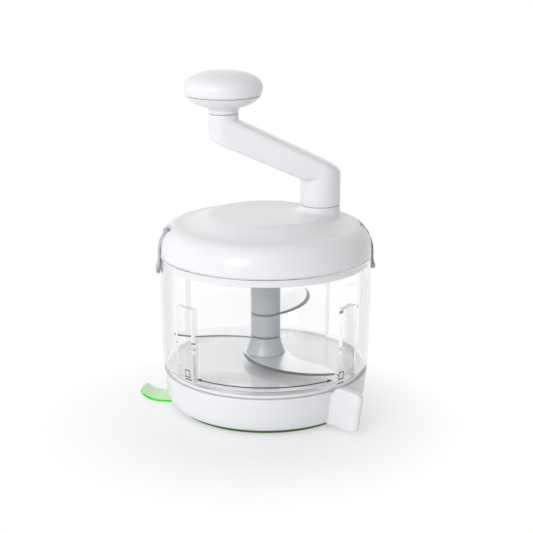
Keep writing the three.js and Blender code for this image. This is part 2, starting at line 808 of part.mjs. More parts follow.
// Deck: a plate under the clear floor, with a rim that centres the turning shell and a lip that
// reaches over it to the bowl's wall.
function base_deck() {
  const outline = [
    [0, deck_bottom],
    [deck_radius - deck_rim_width, deck_bottom],
    [deck_radius - deck_rim_width, deck_bottom - deck_rim_depth],
    [deck_radius, deck_bottom - deck_rim_depth],
    [deck_radius, shell_top + gap],
    [bowl_foot_radius - bowl_wall - gap, shell_top + gap],
    [bowl_foot_radius - bowl_wall - gap, deck_top],
    [0, deck_top],
  ];
  const holes = post_places().map((place) =>
    bar(bowl_boss_radius + slide_gap, deck_bottom - overrun, deck_top + overrun, small_facets, place));
  const middle = bar(spindle_boss_radius + slide_gap, deck_bottom - overrun, deck_top + overrun);
  return cut(turned(outline, wide_facets), [...holes, middle]);
}

// Outer outline of the bowl's wall, foot to rim, moved in by a wall thickness if wanted.
function bowl_side(inset) {
  return [
    [bowl_foot_radius - inset, bowl_bottom],
    [bowl_foot_radius + (bowl_belly_radius - bowl_foot_radius) * bowl_swell_share - inset,
      bowl_bottom + (bowl_belly_height - bowl_bottom) / 2],
    [bowl_belly_radius - inset, bowl_belly_height],
    [bowl_radius - inset, bowl_top - rim_round],
  ];
}

// The room inside the bowl, with a small fillet round the floor.
function bowl_room() {
  const [foot, middle, belly, rim] = bowl_side(bowl_wall);
  const fillet_centre = [foot[0] - bowl_floor_fillet, floor_top + bowl_floor_fillet];
  const outline = [
    [0, floor_top],
    ...quarter(fillet_centre, bowl_floor_fillet, -quarter_turn_deg, 0),
    middle,
    belly,
    rim,
    [rim[0], bowl_top + overrun],
    [0, bowl_top + overrun],
  ];
  return turned(outline, wide_facets);
}

// A ratchet rib: in plan it steps in from the wall, ramps up and drops back along a radial face.
function rib(face_azimuth_deg) {
  const wall = bowl_foot_radius - bowl_wall;
  const beyond = bowl_belly_radius + overrun;
  const start_deg = face_azimuth_deg - rib_span_deg;
  const outside = quarter([0, 0], beyond, face_azimuth_deg, start_deg);
  const crest = polar(wall - rib_depth, face_azimuth_deg);
  const plan = flat([crest, ...outside, polar(wall - rib_toe_depth, start_deg)]);
  return prism(plan, floor_top - bowl_floor_thickness / 2, rib_top);
}

// A finger scoop below a latch, grown by a thickness if wanted.
function scoop(azimuth_deg, grow) {
  const geometry = new THREE.SphereGeometry(1, body_facets, screw_facets);
  geometry.rotateX(Math.PI / 2);
  geometry.scale(scoop_bulge + grow, scoop_half_width + grow, scoop_half_height + grow);
  geometry.translate(bowl_belly_radius - scoop_depth + scoop_bulge, 0, bowl_top - scoop_drop);
  geometry.rotateZ(THREE.MathUtils.degToRad(azimuth_deg));
  return solid(geometry);
}

// Bowl: a thin clear wall and floor, ribs inside, bosses below for the screws and the spindle.
function bowl() {
  const [, ...side] = bowl_side(0);
  const outline = [
    [0, floor_bottom],
    [bowl_foot_radius - bowl_wall, floor_bottom],
    [bowl_foot_radius - bowl_wall, bowl_bottom],
    [bowl_foot_radius, bowl_bottom],
    ...side,
    [bowl_radius - rim_round, bowl_top],
    [0, bowl_top],
  ];
  const azimuths = Object.values(latch_azimuths_deg);
  const outside = cut(turned(outline, wide_facets), azimuths.map((azimuth) => scoop(azimuth, 0)));
  const ribs = rib_face_azimuths_deg.map(rib);
  const bulges = azimuths.map((azimuth) => scoop(azimuth, bowl_wall));
  const room = cut(bowl_room(), [...ribs, ...bulges]);
  const inner_floor = floor_bottom + bowl_floor_thickness / 2;
  const bosses = post_places().map((place) =>
    bar(bowl_boss_radius, post_socket_floor + gap, inner_floor, small_facets, place));
  const middle = bar(spindle_boss_radius, spindle_boss_bottom, inner_floor);
  const pilot_top = post_socket_floor + base_screw_bite + slide_gap;
  const pilots = post_places().map((place) =>
    bar(base_screw_radius + joint_gap, post_socket_floor - overrun, pilot_top, screw_facets, place));
  const hole_bottom = spindle_boss_bottom + bowl_wall / 2;
  const spindle_hole = bar(spindle_radius + joint_gap, hole_bottom, floor_top + overrun);
  return cut(joined([outside.subtract(room), ...bosses, middle]), [...pilots, spindle_hole]);
}

// Spindle pin with a rounded top.
function spindle_pin() {
  const bottom = spindle_boss_bottom + bowl_wall / 2 + joint_gap;
  const top_round = quarter([0, spindle_top - spindle_radius], spindle_radius, 0, quarter_turn_deg);
  return turned([[0, bottom], [spindle_radius, bottom], ...top_round], small_facets);
}

// Hexagonal tube that carries the column's sleeves and the blades.
function column_core() {
  const tube = prism(hexagon(core_hex_radius), core_bottom, core_top);
  const bore_top = spindle_top + overrun;
  return tube.subtract(bar(spindle_radius + gap, core_bottom - overrun, bore_top));
}

// A sleeve of the column between two levels, from an outline of its side, on the hexagon.
function sleeve(side) {
  const bottom = side[0][1];
  const top = side[side.length - 1][1];
  const body = turned([[0, bottom], ...side, [0, top]], body_facets);
  const bore = prism(hexagon(core_hex_radius + gap), bottom - overrun, top + overrun);
  return body.subtract(bore);
}

// Foot of the column: a short skirt under the bottom blade.
function column_foot() {
  return sleeve([
    [column_foot_radius, column_foot_bottom],
    [column_cone_radius, blade_bottom_level - joint_gap - rim_round],
    [column_cone_radius - rim_round, blade_bottom_level - joint_gap],
  ]);
}

// Lower sleeve: flares like a bell above the bottom blade.
function column_lower() {
  const bottom = blade_bottom_level + blade_thickness + joint_gap;
  const top = blade_middle_level - joint_gap;
  const bell = new THREE.QuadraticBezierCurve(
    new THREE.Vector2(column_cone_radius, bottom + rim_round),
    new THREE.Vector2(column_radius + rim_round, bottom + (top - bottom) / 2),
    new THREE.Vector2(column_radius, top),
  );
  const side = bell.getPoints(curve_steps).map((point) => [point.x, point.y]);
  return sleeve([[column_cone_radius - rim_round, bottom], ...side]);
}

function column_middle() {
  const bottom = blade_middle_level + blade_thickness + joint_gap;
  return sleeve([[column_radius, bottom], [column_radius, blade_top_level - joint_gap]]);
}

// Upper sleeve, with a hexagonal socket in its top for the pinion's drive tip.
function column_upper() {
  const bottom = blade_top_level + blade_thickness + joint_gap;
  const body = turned([
    [0, bottom],
    [column_radius, bottom],
    [column_radius, column_top - rim_round],
    [column_radius - rim_round, column_top],
    [0, column_top],
  ], body_facets);
  const bore = prism(hexagon(core_hex_radius + gap), bottom - overrun, core_top + gap);
  const socket = prism(hexagon(drive_tip_hex_radius + gap), socket_bottom, column_top + overrun);
  return cut(body, [bore, socket]);
}

// A blade in plan, pointing along +X: one edge wavy, the other a long curve out to the tip.
function blade(level, belly, azimuth_deg) {
  const plan = new THREE.Shape();
  const [start_x, start_y] = polar(blade_hub_radius, blade_wave_root_deg);
  const [end_x, end_y] = polar(blade_hub_radius, blade_belly_root_deg);
  plan.moveTo(start_x, start_y);
  plan.bezierCurveTo(
    blade_reach * blade_wave_shares[0][0], blade_hub_radius * blade_wave_shares[0][1],
    blade_reach * blade_wave_shares[1][0], blade_hub_radius * blade_wave_shares[1][1],
    blade_reach * blade_wave_shares[2][0], blade_hub_radius * blade_wave_shares[2][1]);
  plan.quadraticCurveTo(
    blade_reach * blade_tip_shares[0], blade_hub_radius * blade_tip_shares[1], blade_reach, -blade_thickness);
  plan.bezierCurveTo(
    blade_reach * blade_belly_shares[0][0], -belly * blade_belly_shares[0][1],
    blade_reach * blade_belly_shares[1][0], -belly * blade_belly_shares[1][1],
    end_x, end_y);
  const leaf = prism(plan, level, level + blade_thickness, azimuth_deg);
  const hub = bar(blade_hub_radius, level, level + blade_thickness, body_facets);
  const hole = prism(hexagon(core_hex_radius + gap), level - overrun, level + overrun);
  return joined([leaf, hub]).subtract(hole);
}

// Outline of the lid's top from the plateau to the seam: a flank down to a valley, and then a
// full round shoulder.
function lid_side(inset, flank_steps, shoulder_steps) {
  const plateau = lid_bottom + lid_plateau_rise - inset;
  const valley = lid_bottom + lid_valley_rise - inset;
  const points = [[lid_plateau_radius, plateau]];
  for (let step = 1; step <= flank_steps; step += 1) {
    const share = step / flank_steps;
    const drop = 1 - (1 - share) ** flank_power;
    const radius = lid_plateau_radius + (lid_valley_radius - inset / 2 - lid_plateau_radius) * share;
    points.push([radius, plateau + (valley - plateau) * drop]);
  }
  const rim = lid_radius - inset;
  const [valley_radius] = points[points.length - 1];
  const foot = lid_bottom + lid_rim_band;
  for (let step = 1; step <= shoulder_steps; step += 1) {
    const angle = step / shoulder_steps * Math.PI / 2;
    const out = Math.sin(angle) ** (2 / shoulder_power);
    const up = Math.cos(angle) ** (2 / shoulder_power);
    points.push([valley_radius + (rim - valley_radius) * out, foot + (valley - foot) * up]);
  }
  return points;
}

// The solid under the lid's outer surface, or under a surface that lies further in.
function lid_form(inset) {
  const edge = [
    [lid_radius - lid_edge_set_back - inset, lid_bottom + lid_edge_round],
    [lid_edge_radius - inset, lid_bottom],
    [0, lid_bottom],
  ];
  const side = lid_side(inset, curve_steps - 1, 2 * curve_steps - 2);
  return turned([[0, side[0][1]], ...side, ...edge], wide_facets);
}

// The room inside the lid, open below.
function lid_room() {
  const side = lid_side(lid_wall, edge_steps, curve_steps);
  const rim = lid_radius - lid_wall;
  const below = lid_bottom - overrun;
  return turned([[0, side[0][1]], ...side, [rim, below], [0, below]], wide_facets);
}

// Height of the lid's outer surface at a radius.
function lid_height(radius) {
  const side = lid_side(0, curve_steps - 1, 2 * curve_steps - 2);
  const after = side.findIndex(([next]) => next > radius);
  if (after < 1) return side[0][1];
  const [near, near_height] = side[after - 1];
  const [far, far_height] = side[after];
  return near_height + (far_height - near_height) * (radius - near) / (far - near);
}

// A solid through rings of points that have the same count, closed across both ends.
function lofted(rings) {
  const count = rings[0].length;
  const middle = (points) => points
    .reduce((sum, point) => sum.map((value, axis) => value + point[axis] / count), [0, 0, 0]);
  const places = [...rings.flat(), middle(rings[0]), middle(rings[rings.length - 1])];
  const low_end = places.length - 2;
  const high_end = places.length - 1;
  const last = count * (rings.length - 1);
  const index = [];
  for (let side = 0; side < count; side += 1) {
    const after = (side + 1) % count;
    for (let start = 0; start < last; start += count) {
      index.push(start + side, start + after, start + count + after);
      index.push(start + side, start + count + after, start + count + side);
    }
    index.push(low_end, after, side);
    index.push(high_end, last + side, last + after);
  }
  const geometry = new THREE.BufferGeometry();
  geometry.setAttribute('position', new THREE.Float32BufferAttribute(places.flat(), 3));
  geometry.setIndex(index);
  return solid(geometry);
}

// One ring of the crank boss: a share of the way up from the lid's surface, or below it by a drop.
function boss_ring(share, drop) {
  const radius = boss_radius + boss_fillet * (1 - share) ** 2;
  const points = [];
  for (let facet = 0; facet < body_facets; facet += 1) {
    const [out_x, out_y] = polar(radius, facet * full_turn_deg / body_facets);
    const x = shaft_place[0] + out_x;
    const y = shaft_place[1] + out_y;
    const ground = lid_height(Math.hypot(x, y));
    points.push([x, y, ground - drop + (boss_top - rim_round - ground) * share ** boss_sweep_power]);
  }
  return points;
}

// The crank boss: a round tower with a concave fillet that follows the lid's surface.
function crank_boss() {
  const rings = [boss_ring(0, lid_wall / 2)];
  for (let step = 0; step <= curve_steps; step += 1) {
    rings.push(boss_ring(step / curve_steps, 0));
  }
  const cap = bar(boss_radius - rim_round, boss_top - lid_wall, boss_top, body_facets, shaft_place);
  return joined([lofted(rings), cap]);
}

// A rod on a latch's hinge line.
function latch_rod(radius, length, azimuth_deg, facets = screw_facets) {
  return cross_bar(radius, length, latch_hinge_radius, latch_hinge_level, azimuth_deg, facets);
}

// A pocket across the lid's shoulder for a latch's hinge bar.
function latch_pocket(azimuth_deg) {
  const clear = latch_bar_radius + pocket_clearance;
  const inner = latch_hinge_radius - clear;
  const outer = lid_radius + overrun;
  const bottom = latch_hinge_level - clear;
  const top = lid_bottom + lid_plateau_rise;
  const size = [outer - inner, latch_width + 2 * gap, top - bottom];
  return block(size, [(inner + outer) / 2, 0, (top + bottom) / 2], azimuth_deg);
}

// The thick wall behind a latch's pocket and channel.
function latch_liner(azimuth_deg) {
  const inner = latch_hinge_radius - latch_bar_radius - pocket_clearance - pocket_wall;
  const bottom = lid_bottom + channel_foot_rise - pocket_wall;
  const top = lid_bottom + lid_plateau_rise;
  const size = [lid_radius - inner, latch_width + 2 * (gap + latch_pin_bite + pocket_wall), top - bottom];
  return block(size, [(inner + lid_radius) / 2, 0, (top + bottom) / 2], azimuth_deg);
}

// A shallow channel down the lid's shoulder for a latch's arm.
function latch_channel(azimuth_deg) {
  const inner = latch_hinge_radius;
  const outer = lid_radius + overrun;
  const bottom = lid_bottom + channel_foot_rise;
  const top = lid_bottom + lid_plateau_rise;
  const size = [outer - inner, latch_width + 2 * gap, top - bottom];
  const slab = block(size, [(inner + outer) / 2, 0, (top + bottom) / 2], azimuth_deg);
  return slab.subtract(lid_form(channel_depth));
}

// Lid shell: dome, crank boss with its tube, pinion axle boss, screw posts and latch pockets.
function lid_shell() {
  const core = lid_form(lid_wall / 2);
  const azimuths = Object.values(latch_azimuths_deg);
  const liners = azimuths.map((azimuth) => latch_liner(azimuth).intersect(core));
  const shell = lid_form(0).subtract(lid_room());
  const tube = bar(boss_tube_radius, boss_tube_bottom, boss_top - rim_round, body_facets, shaft_place);
  const ceiling = lid_bottom + lid_plateau_rise - lid_wall / 2;
  const axle_boss = bar(hub_pin_boss_radius, gear_bottom + pinion_width + hub_pin_boss_drop, ceiling);
  const post_top = lid_bottom + lid_valley_rise - lid_wall / 2;
  const posts = lid_post_places().map((place) =>
    bar(lid_post_radius, plug_floor_top + gap, post_top, screw_facets, place));
  const pockets = azimuths.flatMap((azimuth) => [latch_pocket(azimuth), latch_channel(azimuth)]);
  const pin_length = latch_width + 2 * (gap + latch_pin_bite);
  const pin_holes = azimuths.map((azimuth) => latch_rod(latch_pin_radius + joint_gap, pin_length, azimuth));
  const shaft_bore = bar(
    bushing_radius + joint_gap, boss_tube_bottom - overrun, boss_top + overrun, body_facets, shaft_place);
  const axle_bore = bar(axle_radius + joint_gap, gear_bottom, axle_top() + joint_gap);
  const pilot_top = plug_bottom + lid_screw_length + slide_gap;
  const pilots = lid_post_places().map((place) =>
    bar(lid_screw_radius + joint_gap, plug_bottom, pilot_top, screw_facets, place));
  const added = joined([shell, crank_boss(), tube, axle_boss, ...posts, ...liners]);
  return cut(added, [...pockets, ...pin_holes, shaft_bore, axle_bore, ...pilots]);
}

// Places of the lid's screw posts in plan.
function lid_post_places() {
  return lid_post_azimuths_deg.map((azimuth) => polar(lid_post_circle_radius, azimuth));
}

function axle_top() {
  return gear_bottom + pinion_width - axle_bite + axle_length;
}

// Lid base: a dish that plugs the bowl and carries the pinion's bushing.
function lid_base() {
  const top = lid_bottom + plug_top_rise;
  const outline = [
    [0, plug_bottom],
    [plug_radius - rim_round, plug_bottom],
    [plug_radius, plug_bottom + rim_round],
    [plug_radius, top],
    [plug_inner_radius, top],
    [plug_inner_radius, plug_floor_top],
    [0, plug_floor_top],
  ];
  const middle = bar(pinion_bushing_radius + joint_gap, plug_bottom - overrun, plug_floor_top + overrun);
  const holes = lid_post_places().map((place) =>
    bar(lid_screw_radius + gap, plug_bottom - overrun, plug_floor_top + overrun, screw_facets, place));
  return cut(turned(outline, wide_facets), [middle, ...holes]);
}

function lid_screw(place) {
  const seat = plug_bottom - joint_gap;
  const top = plug_bottom + lid_screw_length;
  return screw(lid_screw_radius, lid_screw_head_radius, lid_screw_head_height, seat, top, place);
}

// A flanged bearing sleeve, with its flange at the bottom or at the top.
function bushing(bore, outer, bottom, top, flange_up, place) {
  const flange = outer + bushing_flange_width;
  const low = flange_up ? outer : flange;
  const high = flange_up ? flange : outer;
  const step = flange_up ? top - bushing_flange_height : bottom + bushing_flange_height;
  const outline = [[bore, bottom], [low, bottom], [low, step], [high, step], [high, top], [bore, top]];
  return turned(outline, body_facets, place);
}

function boss_bushing() {
  const bottom = boss_tube_bottom - bushing_flange_height - joint_gap;
  return bushing(bushing_bore, bushing_radius, bottom, boss_top - gap, false, shaft_place);
}

function pinion_bushing() {
  const top = plug_floor_top + bushing_flange_height + joint_gap;
  return bushing(pinion_bushing_bore, pinion_bushing_radius, plug_bottom, top, true, [0, 0]);
}

// One flank of an involute tooth as [radius, angle] pairs, from the root out to the tip.
function tooth_flank(teeth) {
  const pitch = gear_module * teeth / 2;
  const pressure = THREE.MathUtils.degToRad(pressure_angle_deg);
  const base = pitch * Math.cos(pressure);
  const tip = pitch + gear_module;
  const root = pitch - gear_module * gear_root_share;
  const half_pitch_angle = (Math.PI * gear_module / 2 - gear_backlash) / (2 * pitch);
  const involute = (radius) => {
    const roll = Math.sqrt(Math.max((radius / base) ** 2 - 1, 0));
    return roll - Math.atan(roll);
  };
  const start = Math.max(base, root);
  const points = base > root ? [[root, half_pitch_angle + involute(pitch)]] : [];
  for (let step = 0; step <= gear_flank_steps; step += 1) {
    const radius = start + (tip - start) * step / gear_flank_steps;
    points.push([radius, half_pitch_angle + involute(pitch) - involute(radius)]);
  }
  return points;
}

// A gear in plan, with the first tooth's middle at an angle.
function gear_shape(teeth, first_tooth_angle) {
  const flank = tooth_flank(teeth);
  const points = [];
  for (let tooth = 0; tooth < teeth; tooth += 1) {
    const middle = first_tooth_angle + 2 * Math.PI * tooth / teeth;
    const place = ([radius, angle]) => [radius * Math.cos(angle), radius * Math.sin(angle)];
    const rising = flank.map(([radius, angle]) => place([radius, middle - angle]));
    const falling = flank.map(([radius, angle]) => place([radius, middle + angle])).reverse();
    points.push(...rising, ...falling);
  }
  return flat(points);
}

// Drive gear on the crank's axis, with a tooth pointing at the pinion.
function drive_gear() {
  const towards_pinion = THREE.MathUtils.degToRad(shaft_azimuth_deg) + Math.PI;
  const rim = prism(gear_shape(drive_teeth, towards_pinion), gear_bottom, drive_top, 0, shaft_place);
  const bore_radius = shaft_radius + joint_gap;
  const bore = bar(bore_radius, gear_bottom - overrun, drive_top + overrun, body_facets, shaft_place);
  return rim.subtract(bore);
}

// Pinion on the bowl's axis, with a gap between teeth facing the drive gear. Its journal runs in
// the dish, and its hexagonal tip drives the blade column.
function pinion() {
  const towards_drive = THREE.MathUtils.degToRad(shaft_azimuth_deg) + Math.PI / pinion_teeth;
  const teeth = prism(gear_shape(pinion_teeth, towards_drive), gear_bottom, gear_bottom + pinion_width);
  const journal = bar(pinion_journal_radius, plug_bottom, gear_bottom + joint_gap, body_facets);
  const tip = prism(hexagon(drive_tip_hex_radius), plug_bottom - drive_tip_length, plug_bottom + joint_gap);
  const axle_hole_bottom = gear_bottom + pinion_width - axle_bite - joint_gap;
  const hole = bar(axle_radius + joint_gap, axle_hole_bottom, gear_bottom + pinion_width + overrun);
  return joined([teeth, journal, tip]).subtract(hole);
}

function pinion_axle() {
  return bar(axle_radius, gear_bottom + pinion_width - axle_bite, axle_top());
}

// Crank shaft: a round tube with a collar below the drive gear and a hexagonal head in the hub.
function crank_shaft() {
  const collar_top = boss_tube_bottom - bushing_flange_height - 2 * gap;
  const collar = bar(drive_hub_radius, drive_top + joint_gap, collar_top, body_facets, shaft_place);
  const round = bar(shaft_radius, gear_bottom, hub_bottom, body_facets, shaft_place);
  const hex = hexagon(shaft_hex_radius);
  const head = prism(hex, hub_bottom - joint_gap, shaft_hex_top, crank_azimuth_deg, shaft_place);
  const bore_radius = shaft_screw_radius + joint_gap;
  const bore = bar(bore_radius, gear_bottom - overrun, shaft_hex_top + overrun, screw_facets, shaft_place);
  return joined([collar, round, head]).subtract(bore);
}

function shaft_screw() {
  const seat = gear_bottom - joint_gap;
  const top = shaft_hex_top + shaft_screw_bite;
  const head_radius = shaft_screw_head_radius;
  return screw(shaft_screw_radius, head_radius, shaft_screw_head_height, seat, top, shaft_place);
}

// Side view of the sloping arm, from the hub's far side up to the post's far side.
function arm_side() {
  const under_hub = hub_bottom + arm_hub_rise;
  const under_post = hub_bottom + arm_post_rise;
  const over_hub = under_hub + arm_hub_depth;
  const over_post = arm_post_shoulder;
  const far_end = crank_reach + arm_post_radius;
  const near_post = crank_reach - arm_post_radius;
  const under_slope = (under_post - under_hub) / (far_end - hub_radius);
  const over_slope = (over_post - over_hub) / near_post;
  const side = new THREE.Shape();
  side.moveTo(-hub_radius, under_hub);
  side.lineTo(hub_radius, under_hub);
  side.lineTo(far_end - arm_corner, under_post - under_slope * arm_corner);
  side.quadraticCurveTo(far_end, under_post, far_end, under_post + arm_corner);
  side.lineTo(far_end, over_post + arm_post_fillet);
  side.lineTo(near_post, over_post + arm_post_fillet);
  side.quadraticCurveTo(
    near_post, over_post, near_post - arm_post_fillet, over_post - over_slope * arm_post_fillet);
  const far_top = over_hub - over_slope * hub_radius;
  const corner = Math.min(arm_corner, (far_top - under_hub) * arm_corner_limit_share);
  side.lineTo(corner - hub_radius, over_hub - over_slope * (hub_radius - corner));
  side.quadraticCurveTo(-hub_radius, far_top, -hub_radius, far_top - corner);
  return side;
}

// Plan of the arm: straight sides that touch the hub's circle and the post's circle.
function arm_plan() {
  const lean_deg = THREE.MathUtils.radToDeg(Math.asin((hub_radius - arm_post_radius) / crank_reach));
  const side_deg = quarter_turn_deg - lean_deg;
  const hub_arc = quarter([0, 0], hub_radius, side_deg, full_turn_deg - side_deg, 2 * curve_steps);
  const post_arc = quarter([crank_reach, 0], arm_post_radius, -side_deg, side_deg, 2 * curve_steps);
  return flat([...hub_arc, ...post_arc]);
}

// Crank arm: hub, sloping arm and knob post in one piece.
function crank_arm() {
  const under_hub = hub_bottom + arm_hub_rise;
  const hub = turned([
    [0, hub_bottom],
    [hub_radius - rim_round, hub_bottom],
    [hub_radius, hub_bottom + rim_round],
    [hub_radius, under_hub],
    [0, under_hub],
  ], body_facets);
  const slab = upright(arm_side(), 2 * hub_radius + overrun, 0, 0);
  const arm = slab.intersect(prism(arm_plan(), hub_bottom, arm_post_top));
  const post_foot = arm_post_shoulder - arm_corner;
  const post = turned([
    [0, post_foot],
    [arm_post_radius, post_foot],
    [arm_post_radius, arm_post_top - rim_round],
    [arm_post_radius - rim_round, arm_post_top],
    [0, arm_post_top],
  ], body_facets, [crank_reach, 0]);
  const hex_socket = prism(hexagon(shaft_hex_radius + gap), hub_bottom - overrun, shaft_hex_top + gap);
  const screw_top = shaft_hex_top + shaft_screw_bite + slide_gap;
  const screw_hole = bar(shaft_screw_radius + joint_gap, shaft_hex_top, screw_top, screw_facets);
  const spindle_hole = bar(
    knob_spindle_radius + joint_gap, arm_post_top - knob_spindle_root - joint_gap, arm_post_top + overrun,
    small_facets, [crank_reach, 0]);
  return cut(joined([hub, arm, post]), [hex_socket, screw_hole, spindle_hole]);
}

// Knob spindle: a steel tube fixed in the post, which the knob turns on.
function knob_spindle() {
  const bottom = arm_post_top - knob_spindle_root;
  const outline = [
    [knob_screw_radius + joint_gap, bottom],
    [knob_spindle_radius, bottom],
    [knob_spindle_radius, knob_spindle_top],
    [knob_screw_radius + joint_gap, knob_spindle_top],
  ];
  return turned(outline, small_facets);
}

// Screw that points down and holds the knob on its spindle.
function knob_screw() {
  const seat = knob_spindle_top + joint_gap;
  const outline = [
    [0, seat - knob_screw_length],
    [knob_screw_radius, seat - knob_screw_length + knob_screw_radius],
    [knob_screw_radius, seat],
    [knob_screw_head_radius, seat],
    [knob_screw_head_radius, seat + knob_screw_head_height * screw_head_flat_share],
    [knob_screw_head_radius * screw_head_flat_share, seat + knob_screw_head_height],
    [0, seat + knob_screw_head_height],
  ];
  return turned(outline, screw_facets);
}

// Knob body: a neck that flares like a trumpet to the seam under the cap.
function knob_body() {
  const flare = knob_body_shares.map(([out, up]) =>
    [knob_seam_radius * out, knob_bottom + knob_body_height * up]);
  const bore = knob_spindle_radius + gap;
  const pocket_floor = knob_seam - knob_pocket_depth;
  const groove_outer = knob_collar_radius + gap;
  const groove_inner = knob_collar_radius - knob_collar_wall - gap;
  const groove_floor = knob_seam - knob_collar_depth - gap;
  const outline = [
    [bore, knob_bottom],
    [knob_neck_radius - rim_round, knob_bottom],
    [knob_neck_radius, knob_bottom + rim_round],
    ...flare,
    [knob_seam_radius, knob_seam],
    [groove_outer, knob_seam],
    [groove_outer, groove_floor],
    [groove_inner, groove_floor],
    [groove_inner, knob_seam],
    [knob_pocket_radius, knob_seam],
    [knob_pocket_radius, pocket_floor],
    [bore, pocket_floor],
  ];
  return turned(outline, knob_facets);
}

// Knob cap: a hollow palm cap with a collar that sits in the body's groove.
function knob_cap() {
  const outer_dome = dome(knob_cap_radius, knob_cap_height);
  const inner_dome = dome(knob_cap_radius - knob_cap_wall, knob_cap_height - knob_cap_wall).reverse();
  const collar_bottom = knob_seam - knob_collar_depth;
  const collar_inner = knob_collar_radius - knob_collar_wall;
  const lower_radius = (knob_seam_radius + knob_cap_radius) / 2 + joint_gap;
  const outline = [
    [knob_collar_radius, knob_cap_bottom],
    [knob_seam_radius, knob_cap_bottom],
    [lower_radius, knob_cap_bottom + knob_cap_height * knob_cap_lower_share],
    ...outer_dome,
    ...inner_dome,
    [collar_inner, knob_cap_bottom + knob_cap_wall],
    [collar_inner, collar_bottom],
    [knob_collar_radius, collar_bottom],
  ];
  return turned(outline, knob_facets);
}

// The cap's outline above its widest level, as part of a rounded square.
function dome(radius, height) {
  const widest = knob_cap_bottom + knob_cap_height * knob_widest_share;
  const rise = knob_cap_bottom + height - widest;
  const points = [];
  for (let step = 0; step <= curve_steps; step += 1) {
    const angle = step / curve_steps * Math.PI / 2;
    const out = Math.cos(angle) ** (2 / dome_power);
    const up = Math.sin(angle) ** (2 / dome_power);
    points.push([radius * out, widest + rise * up]);
  }
  return points;
}

// Side view of a latch: a thin arm that runs down a channel in the shoulder and hugs the rim,
// and a thicker finger tab that flares away from the bowl.
function latch_side() {
  const hug = Math.max(lid_radius, bowl_belly_radius) + gap;
  const outer = hug + latch_thickness;
  const flare = outer + latch_tab_flare;
  const top = latch_hinge_level + latch_bar_radius;
  const place = ([out, up]) => [
    latch_hinge_radius + (hug - latch_hinge_radius) * out,
    bowl_top + (latch_hinge_level - bowl_top) * up,
  ];
  const low = (share) => bowl_top - latch_drop * share;
  return [
    [latch_hinge_radius, top],
    ...latch_outer_shares.map(place),
    [outer, low(latch_tab_shares[0])],
    [flare - latch_tab_curl, low(latch_tab_shares[1])],
    [flare, low(latch_tab_shares[2])],
    [flare - latch_tab_curl, low(latch_tab_shares[3])],
    [outer, low(1)],
    [hug, low(latch_tab_shares[3])],
    ...latch_inner_shares.map(place),
    [latch_hinge_radius, latch_hinge_level - latch_tab_curl],
  ];
}

// Front view of a latch between two levels: a strip with its two lower corners well rounded.
function latch_front(top, bottom) {
  const half = latch_width / 2;
  const corner = latch_width * latch_corner_share;
  const level = bottom + corner;
  const left = quarter([corner - half, level], corner, -half_turn_deg, -quarter_turn_deg, curve_steps);
  const right = quarter([half - corner, level], corner, -quarter_turn_deg, 0, curve_steps);
  return flat([[half, top], [-half, top], ...left, ...right]);
}

// Latch: the side view turned about the bowl's axis and cut to the latch's front view, with a
// straight hinge bar bored for its pin.
function latch(azimuth_deg) {
  const sweep = turned(latch_side(), wide_facets);
  const top = latch_hinge_level + latch_bar_radius;
  const bottom = bowl_top - latch_drop;
  const reach = lid_radius + 2 * latch_bar_radius + overrun;
  const size = [reach - latch_hinge_radius + overrun, latch_width, top - bottom + overrun];
  const middle = [(reach + latch_hinge_radius - overrun) / 2, 0, (top + bottom) / 2];
  const front = upright(latch_front(top + overrun, bottom), 2 * reach, 0, azimuth_deg + quarter_turn_deg);
  const arm = sweep.intersect(block(size, middle, azimuth_deg)).intersect(front);
  const hinge = latch_rod(latch_bar_radius, latch_width, azimuth_deg, small_facets);
  const hole = latch_rod(latch_pin_radius + joint_gap, latch_width + overrun, azimuth_deg);
  return joined([arm, hinge]).subtract(hole);
}

function latch_pin(azimuth_deg) {
  return latch_rod(latch_pin_radius, latch_width + 2 * latch_pin_bite, azimuth_deg);
}

// The object, put together from the table up.
const food_processor = new THREE.Group();

const base = new THREE.Group();
base.add(piece('suction_pad', suction_pad(), green_silicone));
base.add(piece('pull_tab', pull_tab(), green_silicone));
base.add(piece('suction_stem', suction_stem(), gear_plastic));
base.add(piece('cross_pin', cross_pin(), screw_steel));
base.add(piece('base_plate', base_plate(), white_plastic));
post_places().forEach((place, index) => {
  base.add(piece(`base_screw_${index + 1}`, base_screw(place), screw_steel));
});
base.add(piece('cam_ring', cam_ring(), gear_plastic));
cam_screw_places().forEach((place, index) => {
  base.add(piece(`cam_screw_${index + 1}`, cam_screw(place), screw_steel));
});
base.add(piece('base_shell', base_shell(), white_plastic));
base.add(piece('base_deck', base_deck(), white_plastic));
food_processor.add(base);

const bowl_group = new THREE.Group();
bowl_group.add(piece('bowl', bowl(), clear_plastic));
bowl_group.add(piece('spindle_pin', spindle_pin(), screw_steel));
food_processor.add(bowl_group);

const column = new THREE.Group();
column.add(piece('column_core', column_core(), gear_plastic));
column.add(piece('column_foot', column_foot(), grey_plastic));
column.add(piece('column_lower', column_lower(), grey_plastic));
column.add(piece('column_middle', column_middle(), grey_plastic));
column.add(piece('column_upper', column_upper(), grey_plastic));
const bottom_blade = blade(blade_bottom_level, blade_bottom_belly, blade_bottom_azimuth_deg);
const middle_blade = blade(blade_middle_level, blade_belly, blade_middle_azimuth_deg);
const top_blade = blade(blade_top_level, blade_belly, blade_top_azimuth_deg);
column.add(piece('blade_bottom', bottom_blade, blade_steel));
column.add(piece('blade_middle', middle_blade, blade_steel));
column.add(piece('blade_top', top_blade, blade_steel));
food_processor.add(column);

